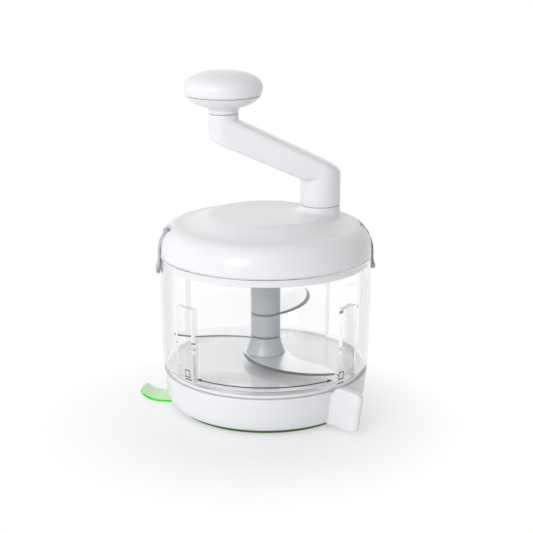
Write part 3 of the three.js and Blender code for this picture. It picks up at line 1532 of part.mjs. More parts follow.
const lid = new THREE.Group();
lid.add(piece('lid_shell', lid_shell(), white_plastic));
lid.add(piece('lid_base', lid_base(), white_plastic));
lid.add(piece('boss_bushing', boss_bushing(), gear_plastic));
lid.add(piece('pinion_bushing', pinion_bushing(), gear_plastic));
lid.add(piece('pinion_axle', pinion_axle(), screw_steel));
lid.add(piece('drive_gear', drive_gear(), gear_plastic));
lid.add(piece('pinion', pinion(), gear_plastic));
lid_post_places().forEach((place, index) => {
  lid.add(piece(`lid_screw_${index + 1}`, lid_screw(place), screw_steel));
});
for (const [side, azimuth_deg] of Object.entries(latch_azimuths_deg)) {
  lid.add(piece(`latch_${side}`, latch(azimuth_deg), grey_plastic));
  lid.add(piece(`latch_pin_${side}`, latch_pin(azimuth_deg), screw_steel));
}
lid.add(piece('crank_shaft', crank_shaft(), screw_steel));
lid.add(piece('shaft_screw', shaft_screw(), screw_steel));
food_processor.add(lid);

// The crank turns about the shaft's axis, so its group stands there. The knob's group stands at
// the far end of the arm.
const crank = new THREE.Group();
crank.position.set(shaft_place[0], shaft_place[1], 0);
crank.rotation.z = THREE.MathUtils.degToRad(crank_azimuth_deg);
crank.add(piece('crank_arm', crank_arm(), white_plastic));
const knob = new THREE.Group();
knob.position.set(crank_reach, 0, 0);
knob.add(piece('knob_spindle', knob_spindle(), screw_steel));
knob.add(piece('knob_screw', knob_screw(), screw_steel));
knob.add(piece('knob_body', knob_body(), white_plastic));
knob.add(piece('knob_cap', knob_cap(), white_plastic));
crank.add(knob);
food_processor.add(crank);

export default food_processor;
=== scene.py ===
import math

import bmesh
import bpy
import numpy as np
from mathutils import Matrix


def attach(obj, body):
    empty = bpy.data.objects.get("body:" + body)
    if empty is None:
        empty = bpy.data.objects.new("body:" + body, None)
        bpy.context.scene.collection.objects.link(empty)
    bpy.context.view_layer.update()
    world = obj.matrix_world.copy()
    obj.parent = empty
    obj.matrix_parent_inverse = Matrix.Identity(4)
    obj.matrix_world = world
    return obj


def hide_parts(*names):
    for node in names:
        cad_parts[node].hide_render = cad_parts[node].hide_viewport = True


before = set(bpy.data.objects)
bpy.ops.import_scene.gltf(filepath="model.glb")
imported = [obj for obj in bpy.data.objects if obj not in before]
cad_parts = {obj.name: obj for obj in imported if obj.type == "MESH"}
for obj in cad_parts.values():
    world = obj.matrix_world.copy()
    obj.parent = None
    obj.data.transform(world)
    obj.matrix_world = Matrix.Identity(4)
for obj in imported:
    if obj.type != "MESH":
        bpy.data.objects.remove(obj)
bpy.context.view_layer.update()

# Camera and room
# The camera is fitted to the photograph. The room is brightest on the left, near the horizon and
# behind the object. Seen directly, through glass or in a reflection, it is a white wall instead,
# which reflections show greyer behind the camera.
camera_distance = 0.95
camera_elevation = math.radians(15.52)
aim_height = 0.1014
aim_side = 0.00064
camera_data = bpy.data.cameras.new("camera")
camera_data.sensor_width = 36
camera_data.lens = 90.18
camera_data.clip_start = 0.05
camera = bpy.data.objects.new("camera", camera_data)
camera.location = (
    aim_side,
    -camera_distance * math.cos(camera_elevation),
    aim_height + camera_distance * math.sin(camera_elevation),
)
camera.rotation_euler = (math.pi / 2 - camera_elevation, 0, 0)
bpy.context.scene.collection.objects.link(camera)
bpy.context.scene.camera = camera

bpy.context.scene.view_settings.view_transform = "Standard"


class Nodes:
    """The node tree of a world or a material, or a node group, to which nodes are added one by one."""

    def __init__(self, owner):
        if isinstance(owner, bpy.types.NodeTree):
            self.tree = owner
        else:
            owner.use_nodes = True
            self.tree = owner.node_tree
            self.tree.nodes.clear()

    def add(self, kind, inputs=None, **settings):
        """A node whose inputs are set to values or linked to other nodes' outputs."""
        node = self.tree.nodes.new(kind)
        for key, value in settings.items():
            setattr(node, key, value)
        for socket, value in (inputs or {}).items():
            if isinstance(value, bpy.types.NodeSocket):
                self.tree.links.new(value, node.inputs[socket])
            else:
                node.inputs[socket].default_value = value
        return node

    def reckon(self, operation, *terms):
        """The result of one operation on outputs or numbers."""
        return self.add("ShaderNodeMath", dict(enumerate(terms)), operation=operation).outputs[0]

    def graded(self, value, start, end, low, high, shape="LINEAR"):
        """Goes from low to high while the value goes from start to end, and stops there."""
        return self.add("ShaderNodeMapRange", {0: value, 1: start, 2: end, 3: low, 4: high},
                        interpolation_type=shape).outputs[0]

    def tinted(self, share, first, second):
        """Goes from the first colour to the second while the share goes from 0 to 1."""
        return self.add("ShaderNodeMix", {0: share, 6: first, 7: second}, data_type="RGBA").outputs[2]

    def layered(self, share, first, second):
        """Goes from the first shader to the second while the share goes from 0 to 1."""
        return self.add("ShaderNodeMixShader", {0: share, 1: first, 2: second}).outputs[0]

    def ray_kinds(self):
        """Two masks: one for rays that see this directly or through glass, and one that has
        reflections too."""
        path = self.add("ShaderNodeLightPath").outputs
        direct = self.reckon("MAXIMUM", path["Is Camera Ray"], path["Is Transmission Ray"])
        return direct, self.reckon("MAXIMUM", direct, path["Is Glossy Ray"])

    def flatness(self):
        """1 where a face lies level, and 0 where it stands upright."""
        facing = self.add("ShaderNodeNewGeometry").outputs["True Normal"]
        return self.reckon("ABSOLUTE", self.add("ShaderNodeSeparateXYZ", {0: facing}).outputs["Z"])

    def surface(self, shader):
        """Makes a shader the surface of the material."""
        self.add("ShaderNodeOutputMaterial", {"Surface": shader})

    def bumped_surface(self, colour, roughness, height, strength, distance, others):
        """One shader with a bump in its normal as the surface, with its other sockets by name."""
        bump = self.add("ShaderNodeBump", {"Strength": strength, "Distance": distance, "Height": height})
        shader = self.add("ShaderNodeBsdfPrincipled", {
            **others, "Base Color": colour, "Roughness": roughness, "Normal": bump.outputs[0]})
        self.surface(shader.outputs[0])


left_light, right_light = 0.76, 0.38
horizon_light, overhead_light = 1.45, 0.5
back_light = 2
wall_white, wall_grey = 1, 0.5
wall_grey_until, wall_white_from = -0.75, 0.15
world = bpy.data.worlds.new("room")
bpy.context.scene.world = world
nodes = Nodes(world)
place = nodes.add("ShaderNodeTexCoord").outputs["Generated"]
across, ahead, upwards = nodes.add("ShaderNodeSeparateXYZ", {0: place}).outputs
level = nodes.reckon("MULTIPLY", nodes.graded(across, -1, 1, left_light, right_light),
                     nodes.graded(upwards, 0, 1, horizon_light, overhead_light))
level = nodes.reckon("MULTIPLY", level, nodes.graded(ahead, 0, 1, 1, back_light))
room_light = nodes.add("ShaderNodeBackground", {"Color": (0.985, 0.99, 1, 1), "Strength": level})
direct, seen = nodes.ray_kinds()
wall_level = nodes.graded(ahead, wall_grey_until, wall_white_from, wall_grey, wall_white, "SMOOTHSTEP")
wall_level = nodes.reckon("MAXIMUM", wall_level, direct)
white_wall = nodes.add("ShaderNodeBackground", {"Color": (1, 1, 1, 1), "Strength": wall_level})
both = nodes.layered(seen, room_light.outputs[0], white_wall.outputs[0])
nodes.add("ShaderNodeOutputWorld", {"Surface": both})
lamp_aim = np.array((0, 0, 0.1))


def lamp(name, power, size, place):
    """A square soft box at a place, turned towards the middle of the object."""
    light = bpy.data.lights.new(name, "AREA")
    light.energy = power
    light.shape = "SQUARE"
    light.size = size
    holder = bpy.data.objects.new(name, light)
    holder.location = place
    back = np.array(place) - lamp_aim
    back /= np.linalg.norm(back)
    holder.rotation_euler = (math.acos(back[2]), 0, math.atan2(back[0], -back[1]))
    bpy.context.scene.collection.objects.link(holder)


lamp("left_box", 0.7, 1.1, (-1.25, 0.15, 0.6))
lamp("front_box", 6.7, 0.5, (-0.69, -1.24, 0.6))
lamp("top_box", 3.3, 1.2, (-0.3, -0.7, 1.05))

# Floor
# A plain white sheet. Seen directly, through glass or in a reflection, it grows to pure white away
# from the object, so that the object's soft shadow is left on it.
floor_half = 3.0
shadow_middle = (-0.01, -0.035, 0)
shadow_reach, white_reach = 0.06, 0.15
shadow_glow = 0.4
floor_mesh = bpy.data.meshes.new("floor")
corners = [(-1, -1), (1, -1), (1, 1), (-1, 1)]
floor_mesh.from_pydata([(x * floor_half, y * floor_half, 0) for x, y in corners], [], [(0, 1, 2, 3)])
floor = bpy.data.objects.new("floor", floor_mesh)
bpy.context.scene.collection.objects.link(floor)
floor_look = bpy.data.materials.new("floor_sheet")
floor_mesh.materials.append(floor_look)
nodes = Nodes(floor_look)
sheet = nodes.add("ShaderNodeBsdfPrincipled", {"Base Color": (0.93, 0.93, 0.94, 1), "Roughness": 0.55})
glow = nodes.add("ShaderNodeEmission", {"Color": (1, 1, 1, 1), "Strength": 1})
place = nodes.add("ShaderNodeTexCoord").outputs["Object"]
offset = nodes.add("ShaderNodeVectorMath", {0: place, 1: shadow_middle}, operation="SUBTRACT").outputs[0]
away = nodes.add("ShaderNodeVectorMath", {0: offset}, operation="LENGTH").outputs["Value"]
direct, seen = nodes.ray_kinds()
far_glow = nodes.graded(away, shadow_reach, white_reach, shadow_glow, 1)
glow_share = nodes.reckon("MULTIPLY", seen, far_glow)
nodes.surface(nodes.layered(glow_share, sheet.outputs[0], glow.outputs[0]))

# Suction pad and pull tab
# Green translucent silicone. The pad is a flat disc under the base, and the tab is a thick strip
# that curls up to a lip for the finger. The pad's green is painted dark, as painted shade under the
# base. The tab's broad faces are painted a light green, a painted sheen of the white room, and its
# cut edges are bright green.
mm = 0.001


def surface_grain():
    """A node group with the fine, even texture of a moulded surface: the height of a fine noise,
    and a roughness and a shade that follow a broad one."""
    group = bpy.data.node_groups.new("moulded_grain", "ShaderNodeTree")
    make = group.interface.new_socket
    for name, value in (("Scale", 900), ("Roughness", 0.35), ("Spread", 0.05)):
        make(name, in_out="INPUT", socket_type="NodeSocketFloat").default_value = value
    for name in ("Height", "Roughness", "Shade"):
        make(name, in_out="OUTPUT", socket_type="NodeSocketFloat")
    nodes = Nodes(group)
    given = nodes.add("NodeGroupInput").outputs
    place = nodes.add("ShaderNodeTexCoord").outputs["Object"]
    fine = nodes.add("ShaderNodeTexNoise", {"Vector": place, "Scale": given["Scale"], "Detail": 4})
    broad = nodes.add("ShaderNodeTexNoise", {"Vector": place, "Scale": 35, "Detail": 3}).outputs["Fac"]
    rough = nodes.reckon("SUBTRACT", broad, 0.5)
    rough = nodes.reckon("MULTIPLY_ADD", rough, given["Spread"], given["Roughness"])
    nodes.add("NodeGroupOutput", {"Height": fine.outputs["Fac"], "Roughness": rough, "Shade": broad})
    return group


grain = surface_grain()
grain_height = 0.0004


def moulded(name, colour, shade, roughness, scale=900, spread=0.08, depth=0.02, **sockets):
    """A moulded surface: two near colours mixed by a broad noise, with a fine grain in its bump."""
    look = bpy.data.materials.new(name)
    nodes = Nodes(look)
    detail = nodes.add("ShaderNodeGroup", {"Scale": scale, "Roughness": roughness, "Spread": spread},
                       node_tree=grain).outputs
    tint = nodes.tinted(detail["Shade"], (*colour, 1), (*shade, 1))
    nodes.bumped_surface(tint, detail["Roughness"], detail["Height"], depth, grain_height,
                         {key.replace("_", " "): value for key, value in sockets.items()})
    look.diffuse_color = (*colour, 1)
    return look


merge_reach, shortest_edge = 5e-7, 1e-7


def piece(name, points, faces, look, body, slot, replaced=(), angle=38):
    """Points in millimetres and faces as a new mesh that rides on a body. Points that coincide are
    merged, and faces are turned outwards and shaded smooth up to an angle. A negative volume shows
    that the faces were turned inwards."""
    mesh = bpy.data.meshes.new(name)
    mesh.from_pydata((np.asarray(points) * mm).tolist(), [], faces)
    work = bmesh.new()
    work.from_mesh(mesh)
    bmesh.ops.remove_doubles(work, verts=work.verts, dist=merge_reach)
    bmesh.ops.dissolve_degenerate(work, edges=work.edges, dist=shortest_edge)
    bmesh.ops.recalc_face_normals(work, faces=work.faces)
    if work.calc_volume(signed=True) < 0:
        bmesh.ops.reverse_faces(work, faces=work.faces)
    work.to_mesh(mesh)
    work.free()
    mesh.shade_smooth()
    mesh.set_sharp_from_angle(angle=math.radians(angle))
    mesh.materials.append(look)
    made = bpy.data.objects.new(name, mesh)
    bpy.context.scene.collection.objects.link(made)
    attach(made, body)
    if replaced:
        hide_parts(*replaced)


def surface_of(grid, wrap_rows, wrap_columns):
    """Rows and columns of points as one list of points and the quads between neighbours."""
    rows, columns = grid.shape[:2]
    row = np.arange(rows if wrap_rows else rows - 1)[:, None]
    column = np.arange(columns if wrap_columns else columns - 1)[None, :]
    after_row, after_column = (row + 1) % rows, (column + 1) % columns
    corners = [row * columns + column, row * columns + after_column,
               after_row * columns + after_column, after_row * columns + column]
    return grid.reshape(-1, 3), np.stack(corners, -1).reshape(-1, 4).tolist()


def tube_of(grid):
    """Points and faces of a tube whose sections are the grid's rows, with both ends closed."""
    rows, columns = grid.shape[:2]
    points, faces = surface_of(grid, False, True)
    return points, faces + [list(range(columns)), list(range((rows - 1) * columns, rows * columns))]


def turned(profile, segments=288, centre=(0, 0)):
    """An outline of [radius, height] points swept round an upright axis, as points and faces. It is
    closed, or it starts and ends on the axis."""
    angle = np.linspace(0, 2 * np.pi, segments, endpoint=False)[:, None]
    radius, height = np.asarray(profile, float).T
    points = np.stack([centre[0] + radius * np.cos(angle), centre[1] + radius * np.sin(angle),
                       np.broadcast_to(height, (segments, len(height)))], -1)
    on_axis = radius[0] == 0 and radius[-1] == 0
    return surface_of(points, True, not on_axis)


def eased(points, cuts, steps=6, closed=True):
    """An outline whose corners are swapped for curves that start a given length before each corner."""
    points = np.asarray(points, float)
    cuts = np.broadcast_to(cuts, len(points))
    share = np.linspace(0, 1, steps + 1)[:, None]
    line = []
    for index, corner in enumerate(points):
        if not closed and index in (0, len(points) - 1) or cuts[index] == 0:
            line.append(corner[None])
            continue
        before, after = points[index - 1] - corner, points[(index + 1) % len(points)] - corner
        length = min(cuts[index], 0.49 * np.linalg.norm(before), 0.49 * np.linalg.norm(after))
        start = corner + before / np.linalg.norm(before) * length
        end = corner + after / np.linalg.norm(after) * length
        line.append((1 - share) ** 2 * start + 2 * share * (1 - share) * corner + share ** 2 * end)
    return np.concatenate(line)


def through(points, count):
    """A smooth curve through the points: cubic between neighbours, with slopes from both sides."""
    points = np.asarray(points, float)
    way = np.concatenate([[0], np.cumsum(np.linalg.norm(np.diff(points, axis=0), axis=1))])
    slope = np.gradient(points, way, axis=0)
    at = np.linspace(0, way[-1], count)
    cell = np.clip(np.searchsorted(way, at, "right") - 1, 0, len(way) - 2)
    span = (way[cell + 1] - way[cell])[:, None]
    t = (at - way[cell])[:, None] / span
    return ((2 * t ** 3 - 3 * t ** 2 + 1) * points[cell] + (t ** 3 - 2 * t ** 2 + t) * span * slope[cell]
            + (3 * t ** 2 - 2 * t ** 3) * points[cell + 1] + (t ** 3 - t ** 2) * span * slope[cell + 1])


def around(x, y, z, azimuth_deg):
    """Points given along, across and above a radial line, turned to its azimuth."""
    cos, sin = math.cos(math.radians(azimuth_deg)), math.sin(math.radians(azimuth_deg))
    return np.stack([x * cos - y * sin, x * sin + y * cos, z], -1)


# The pad's silicone is painted a dark green, far darker than the tab's cut edges, as painted shade under the
# base ring.
silicone = moulded("silicone", (0.03, 0.12, 0.01), (0.035, 0.15, 0.012), 0.42, scale=600, depth=0.05,
                   Subsurface_Weight=0.25, Subsurface_Radius=(0.2, 1, 0.1), Subsurface_Scale=0.003)

pad_radius, pad_top = 62.9, 2.2
collar_radius, collar_top = 13, 8.6
stem_hole, pocket_radius, pocket_top, pocket_bottom = 5.5, 9.5, 7.1, 1
pad_outline = eased(
    [(0, 0), (pad_radius, 0), (pad_radius, pad_top), (collar_radius, pad_top), (collar_radius, collar_top),
     (stem_hole, collar_top), (stem_hole, pocket_top), (pocket_radius, pocket_top),
     (pocket_radius, pocket_bottom), (0, pocket_bottom)], [0, 0.8, 0.8, 0.4, 0.4, 0.3, 0, 0, 0, 0])
piece("suction_disc", *turned(pad_outline), silicone, "bowl", "green_silicone", ["suction_pad"])

tab_azimuth = 175
tab_half_width = 10.5
tab_squareness = 40
tab_rounding_share = 0.02
tab_corner = 3.2
tab_under = through([(64.0, 0), (73, 0), (79, 0.35), (84, 1.6), (88.2, 3.9), (91.6, 6.9)], 60)
tab_under = np.maximum(tab_under, 0)
tab_upper = through([(64.0, pad_top), (72.8, pad_top), (78.3, 2.5), (82.9, 3.7), (86.7, 5.8),
                     (89.9, 8.1)], 60)


def tab_points():
    """A strip of two curved faces. Across its width the section is a rounded bar, and in plan the
    lip's corners are rounded by pulling the strip's end back towards its sides."""
    across = np.sin(np.linspace(-np.pi / 2, np.pi / 2, 49))
    bulge = np.sqrt(np.clip(1 - np.abs(across) ** tab_squareness, 0, 1))
    middle = (tab_under + tab_upper) / 2
    half = (tab_upper - tab_under) / 2
    share = np.linspace(0, 1, len(middle))
    ending = np.clip((share - 1 + tab_rounding_share) / tab_rounding_share, 0, 1)
    end_round = np.sqrt(1 - ending ** 2)[:, None]
    loop = np.concatenate([across, across[::-1]])
    side = np.concatenate([-bulge, bulge[::-1]])
    back = tab_corner * np.abs(loop) ** 6
    rows = []
    for index in range(len(middle)):
        spot = middle[index] + half[index] * side[:, None] * end_round[index]
        pull = back * share[index] ** 3
        direction = middle[min(index + 1, len(middle) - 1)] - middle[max(index - 1, 0)]
        direction = direction / np.linalg.norm(direction)
        spot = spot - pull[:, None] * direction
        rows.append(around(spot[:, 0], loop * tab_half_width, spot[:, 1], tab_azimuth))
    return np.array(rows)


lip_start, lip_end = -0.0903, -0.0895
# The second green is a painted sheen: a light green that level faces get in place of the white room's
# reflection, and that also keeps green bounce light off the floor.
edge_green, sheen_green = (0.03, 0.72, 0.015, 1), (0.66, 0.9, 0.57, 1)
tab_skin = bpy.data.materials.new("silicone_tab")
nodes = Nodes(tab_skin)
place = nodes.add("ShaderNodeTexCoord").outputs["Object"]
reach = nodes.add("ShaderNodeSeparateXYZ", {0: place}).outputs["X"]
# Painted sheen: level faces, except at the lip's end, get the light green.
sheen_share = nodes.reckon("MULTIPLY", nodes.graded(nodes.flatness(), 0.5, 0.75, 0, 1),
                    nodes.graded(reach, lip_start, lip_end, 0, 1))
detail = nodes.add("ShaderNodeGroup", {"Scale": 600, "Roughness": 0.38}, node_tree=grain).outputs
nodes.bumped_surface(
    nodes.tinted(sheen_share, edge_green, sheen_green), detail["Roughness"], detail["Height"], 0.05, grain_height,
    {"Subsurface Weight": 0.2, "Subsurface Radius": (0.3, 1, 0.2), "Subsurface Scale": 0.002})
piece("tab_strip", *tube_of(tab_points()), tab_skin, "tab", "green_silicone", ["pull_tab"], 60)

# Base ring with its paddle
# A white injection-moulded shell that turns under the bowl. It bellies in towards the table, and
# the paddle stands out from it as a flat plate with soft edges.
white = moulded("white_plastic", (0.80, 0.805, 0.82), (0.78, 0.785, 0.80), 0.24)
ring_foot, belly_top, ring_top = 2.9, 12, 28
foot_radius, belly_corner, belly_radius, top_radius = 64.5, 69.3, 71.7, 73.2
flange_radius, flange_under = 66.5, 25.6
inside_top, inside_foot = 70.8, 69.1
web_radius, web_top, web_under = 50, 11.3, 8.9
skirt_top, skirt_foot = 68.1, 62.1
share = np.linspace(0, 1, 25)[:, None]
belly = ((1 - share) ** 2 * (foot_radius, ring_foot) + 2 * share * (1 - share) * (belly_corner, ring_foot)
         + share ** 2 * (belly_radius, belly_top))
ring_rest = eased(
    [(belly_radius, belly_top), (top_radius, ring_top), (flange_radius, ring_top),
     (flange_radius, flange_under), (inside_top, flange_under), (inside_foot, web_top), (web_radius, web_top),
     (web_radius, web_under), (skirt_top, web_under), (skirt_foot, ring_foot), (foot_radius, ring_foot)],
    [0, 0.7, 0.4, 0.3, 0.3, 1, 0.3, 0.3, 1, 0.3, 0], closed=False)
ring_outline = np.concatenate([belly[:-1], ring_rest[:-1]])
piece("base_ring", *turned(ring_outline, 360), white, "turn_ring", "white_plastic", ["base_shell"])

paddle_azimuth = -48.7
paddle_half, paddle_top = 3.3, 32.4
paddle_flare, flare_reach, ring_reach = 1.8, 3.4, 72.6
tip_start, tip_length, tip_round_across, tip_round_up = 93, 6, 3.2, 4.5
paddle_root, paddle_foot, root_lift, lift_end = 66, 3.1, 0.9, 78
top_reaches = [paddle_root, 72, 73.4, 76, 79, 83, 95]
top_heights = [19, 24, 27.4, 31.2, 32.0, 32.2, paddle_top]
paddle_squareness = 0.22
paddle_lean, lean_start, lean_length = 0.16, 74, 20


def paddle_points():
    """Upright sections of a plate from its root in the ring out to its tip. Each section is a
    rounded rectangle, which widens near the root like a fillet and closes at the tip. The plate's
    end leans in towards its foot."""
    tip = tip_start + tip_length * np.sin(np.linspace(0, np.pi / 2, 17))[1:]
    stations = np.concatenate([np.linspace(paddle_root, 74, 17), np.linspace(74.6, tip_start, 24), tip])
    angle = np.linspace(0, 2 * np.pi, 73)[:-1]
    cos, sin = np.cos(angle), np.sin(angle)
    square_x = np.sign(cos) * np.abs(cos) ** paddle_squareness
    square_z = np.sign(sin) * np.abs(sin) ** paddle_squareness
    low = paddle_foot + root_lift * np.clip((lift_end - stations) / (lift_end - paddle_root), 0, 1)
    high = np.interp(stations, top_reaches, top_heights)
    flare = paddle_flare * np.clip(1 - (stations - ring_reach) / flare_reach, 0, 1) ** 2
    ending = np.clip((stations - tip_start) / tip_length, 0, 1)
    closing = 1 - np.sqrt(np.clip(1 - ending ** 2, 0, 1))
    thin = (paddle_half + flare - tip_round_across * closing)[:, None]
    tall = ((high - low) / 2 - tip_round_up * closing)[:, None]
    y = thin * square_x
    z = (high + low)[:, None] / 2 + tall * square_z
    x = np.broadcast_to(stations[:, None], y.shape)
    lean = np.clip((x - lean_start) / lean_length, 0, 1) * paddle_lean * (z - paddle_top)
    return around(x + lean, y, z, paddle_azimuth)


piece("base_paddle", *tube_of(paddle_points()), white, "turn_ring", "white_plastic")

# Base's inside
# Plain white mouldings, a cam ring of slick plastic and zinc-plated screws, all out of sight but
# for the deck under the clear floor. The gears and bushings further up get the same slick plastic,
# and the pins and shafts the same plating.
slick = moulded("slick_plastic", (0.72, 0.72, 0.68), (0.69, 0.69, 0.64), 0.45)


def steel_look(name, colour, roughness, stretch):
    """Metal with fine scratches: noise stretched along one direction, in roughness and bump."""
    look = bpy.data.materials.new(name)
    nodes = Nodes(look)
    place = nodes.add("ShaderNodeTexCoord").outputs["Object"]
    scaled = nodes.add("ShaderNodeMapping", {"Scale": stretch, "Vector": place}).outputs[0]
    scratches = nodes.add("ShaderNodeTexNoise", {"Scale": 1, "Detail": 5, "Vector": scaled}).outputs["Fac"]
    tint = nodes.tinted(scratches, (*colour, 1), (*[value * 0.93 for value in colour], 1))
    rough = nodes.graded(scratches, 0, 1, roughness * 0.8, roughness * 1.25)
    nodes.bumped_surface(tint, rough, scratches, 0.03, 0.0003, {"Metallic": 1})
    look.diffuse_color = (*colour, 1)
    return look


plated = steel_look("plated_steel", (0.55, 0.56, 0.58), 0.3, (300, 300, 900))


def finish_node(name, look):
    """Gives a CAD node that stays a better material in all its slots."""
    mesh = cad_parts[name].data
    if not mesh.materials:
        mesh.materials.append(look)
    for index in range(len(mesh.materials)):
        mesh.materials[index] = look


# The deck's white is painted lighter than the other white plastic: a painted brightening for the light that
# the lid keeps off the deck.
brightened_deck_white = moulded("brightened_deck_white", (0.965, 0.965, 0.967), (0.955, 0.955, 0.957), 0.25,
                     Coat_Weight=1, Coat_Roughness=0.05, Coat_IOR=1.7)
deck_bore, deck_radius, deck_under, deck_top = 6.1, 70.9, 28.3, 30.4
lip_inner, lip_outer, lip_foot = 63.9, 65.8, 24.1
deck_outline = eased(
    [(deck_bore, deck_under), (lip_inner, deck_under), (lip_inner, lip_foot), (lip_outer, lip_foot),
     (lip_outer, deck_under), (deck_radius, deck_under), (deck_radius, deck_top), (deck_bore, deck_top)],
    [0.2, 0.3, 0.2, 0.3, 0.2, 0.3, 0.3, 0.3])
piece("deck_plate", *turned(deck_outline, 360), brightened_deck_white, "bowl", "white_plastic", ["base_deck"])
finish_node("base_plate", white)
for name in ("cam_ring", "suction_stem", "column_core", "boss_bushing", "pinion_bushing", "drive_gear",
             "pinion"):
    finish_node(name, slick)
steel_nodes = ("cross_pin", "spindle_pin", "pinion_axle", "latch_pin_left", "latch_pin_right",
               "crank_shaft", "knob_spindle")
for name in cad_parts:
    if "screw" in name or name in steel_nodes:
        finish_node(name, plated)

# Clear bowl
# A thin clear moulding with four wedge-shaped ribs inside that turn the food back into the
# blades, and a finger scoop under each latch.
rib_faces = (-132.8, -33.2, 47.2, 146.8)
rib_span, rib_crest, rib_start, rib_top = 12.0, 67.4, 69.0, 86.0
latch_azimuths = {"left": 185, "right": 5}
bowl_wall = 2.1
rim_radius, wall_foot_radius = 75.0, 73.3
floor_top, floor_under, bowl_foot, bowl_rim = 33.0, 30.7, 28.3, 112.3
bowl_outer = through([(wall_foot_radius, bowl_foot), (73.9, 42), (74.42, 58.15), (74.85, 74), (75.1, 88),
                      (75.1, 100), (rim_radius, bowl_rim)], 90)
spigot_radius, spigot_foot, pin_hole, pin_hole_foot = 5.5, 25.6, 3.2, 26.7


def clear_plastic():
    """Clear plastic: glass with a plastic's index and edges painted darker by the viewing angle, as
    painted shade. Shadow rays, the light that bounces between dull surfaces, and light that has
    crossed several faces pass straight through. So does all light at the foot and at the ribs,
    because bent light makes those dark. In its place the foot is painted an even light grey with two
    soft lines of painted shade, where the floor's faces meet the wall, and the ribs' steps are
    painted grey as painted shade. Light that leaves by a back face uses slightly wider ribs, so that
    what came in straight goes out straight."""
    middle_tint, painted_edge_shade = (0.995, 0.997, 0.998, 1), (0.5, 0.51, 0.525, 1)
    painted_step_shade, foot_grey = (0.86, 0.865, 0.87, 1), (0.99, 0.99, 0.99, 1)
    deepest_bent = 4.5
    foot_inside, foot_top = 0.069, 0.0338
    under_inside, under_top = 0.064, 0.0312
    rib_inside, step_outside, wall_outside = 0.0662, 0.0722, 0.072
    step_deg, leaving_deg = 0.3, 2
    look = bpy.data.materials.new("clear_plastic")
    nodes = Nodes(look)
    detail = nodes.add("ShaderNodeGroup", {"Scale": 120, "Roughness": 0.02, "Spread": 0.02},
                       node_tree=grain).outputs
    bump = nodes.add("ShaderNodeBump", {"Strength": 0.01, "Distance": 0.0002, "Height": detail["Shade"]})
    facing = nodes.add("ShaderNodeLayerWeight", {"Blend": 0.5}).outputs["Facing"]
    # Painted shade: the clear plastic's colour darkens towards the edges, by the viewing angle.
    tint = nodes.tinted(nodes.graded(facing, 0.5, 1, 0, 1), middle_tint, painted_edge_shade)
    glass = nodes.add("ShaderNodeBsdfPrincipled", {
        "Metallic": 0, "Transmission Weight": 1, "IOR": 1.49, "Base Color": tint,
        "Roughness": detail["Roughness"], "Normal": bump.outputs[0]})
    straight = nodes.add("ShaderNodeBsdfTransparent", {"Color": (0.997, 0.998, 0.998, 1)})
    path = nodes.add("ShaderNodeLightPath").outputs
    passing = nodes.reckon("MAXIMUM", path["Is Shadow Ray"], path["Is Diffuse Ray"])
    passing = nodes.reckon("MAXIMUM", passing, nodes.reckon("GREATER_THAN", path["Ray Depth"], deepest_bent))
    wall = nodes.layered(passing, glass.outputs[0], straight.outputs[0])

    place = nodes.add("ShaderNodeTexCoord").outputs["Object"]
    x, y, height = nodes.add("ShaderNodeSeparateXYZ", {0: place}).outputs
    level = nodes.add("ShaderNodeCombineXYZ", {0: x, 1: y}).outputs[0]
    radius = nodes.add("ShaderNodeVectorMath", {0: level}, operation="LENGTH").outputs["Value"]

    def out_and_under(inside, top):
        """1 further out than a radius and under a height, and 0 elsewhere."""
        return nodes.reckon("MULTIPLY", nodes.reckon("GREATER_THAN", radius, inside),
                            nodes.reckon("LESS_THAN", height, top))

    foot = nodes.reckon("MAXIMUM", out_and_under(foot_inside, foot_top),
                        out_and_under(under_inside, under_top))
    # Painted shade: inside the wall the foot gets an even light grey by height, with two soft darker lines,
    # in place of the dark of bent light.
    painted_foot_shade = nodes.add("ShaderNodeValToRGB", {0: nodes.graded(height, bowl_foot * mm, foot_top, 0, 1)})
    stops = painted_foot_shade.color_ramp.elements
    stops[0].position, stops[0].color = 0, (0.95, 0.954, 0.96, 1)
    stops[1].position, stops[1].color = 1, (0.88, 0.885, 0.89, 1)
    for spot, shade in ((0.12, 0.95), (0.2, 0.9), (0.28, 0.93), (0.88, 0.93)):
        stops.new(spot).color = (shade, shade * 1.004, shade * 1.01, 1)
    outside = nodes.reckon("GREATER_THAN", radius, wall_outside)
    foot_tint = nodes.tinted(outside, foot_grey, painted_foot_shade.outputs[0])

    margin = nodes.reckon("MULTIPLY", nodes.add("ShaderNodeNewGeometry").outputs["Backfacing"],
                          math.radians(leaving_deg))
    azimuth = nodes.reckon("SUBTRACT", nodes.reckon("ARCTAN2", y, x), margin)
    rib_width = nodes.reckon("MULTIPLY_ADD", margin, 2, math.radians(rib_span + 2 * step_deg))
    step_width = nodes.reckon("ADD", margin, math.radians(step_deg))
    ribs, steps = 0, 0
    for face in rib_faces:
        behind = nodes.reckon("SUBTRACT", math.radians(face + step_deg), azimuth)
        behind = nodes.reckon("FLOORED_MODULO", behind, 2 * math.pi)
        ribs = nodes.reckon("MAXIMUM", ribs, nodes.reckon("LESS_THAN", behind, rib_width))
        steps = nodes.reckon("MAXIMUM", steps, nodes.reckon("LESS_THAN", behind, step_width))
    ribs = nodes.reckon("MULTIPLY", ribs, out_and_under(rib_inside, (rib_top - 0.2) * mm))
    steps = nodes.reckon("MULTIPLY", steps, nodes.reckon("LESS_THAN", radius, step_outside))
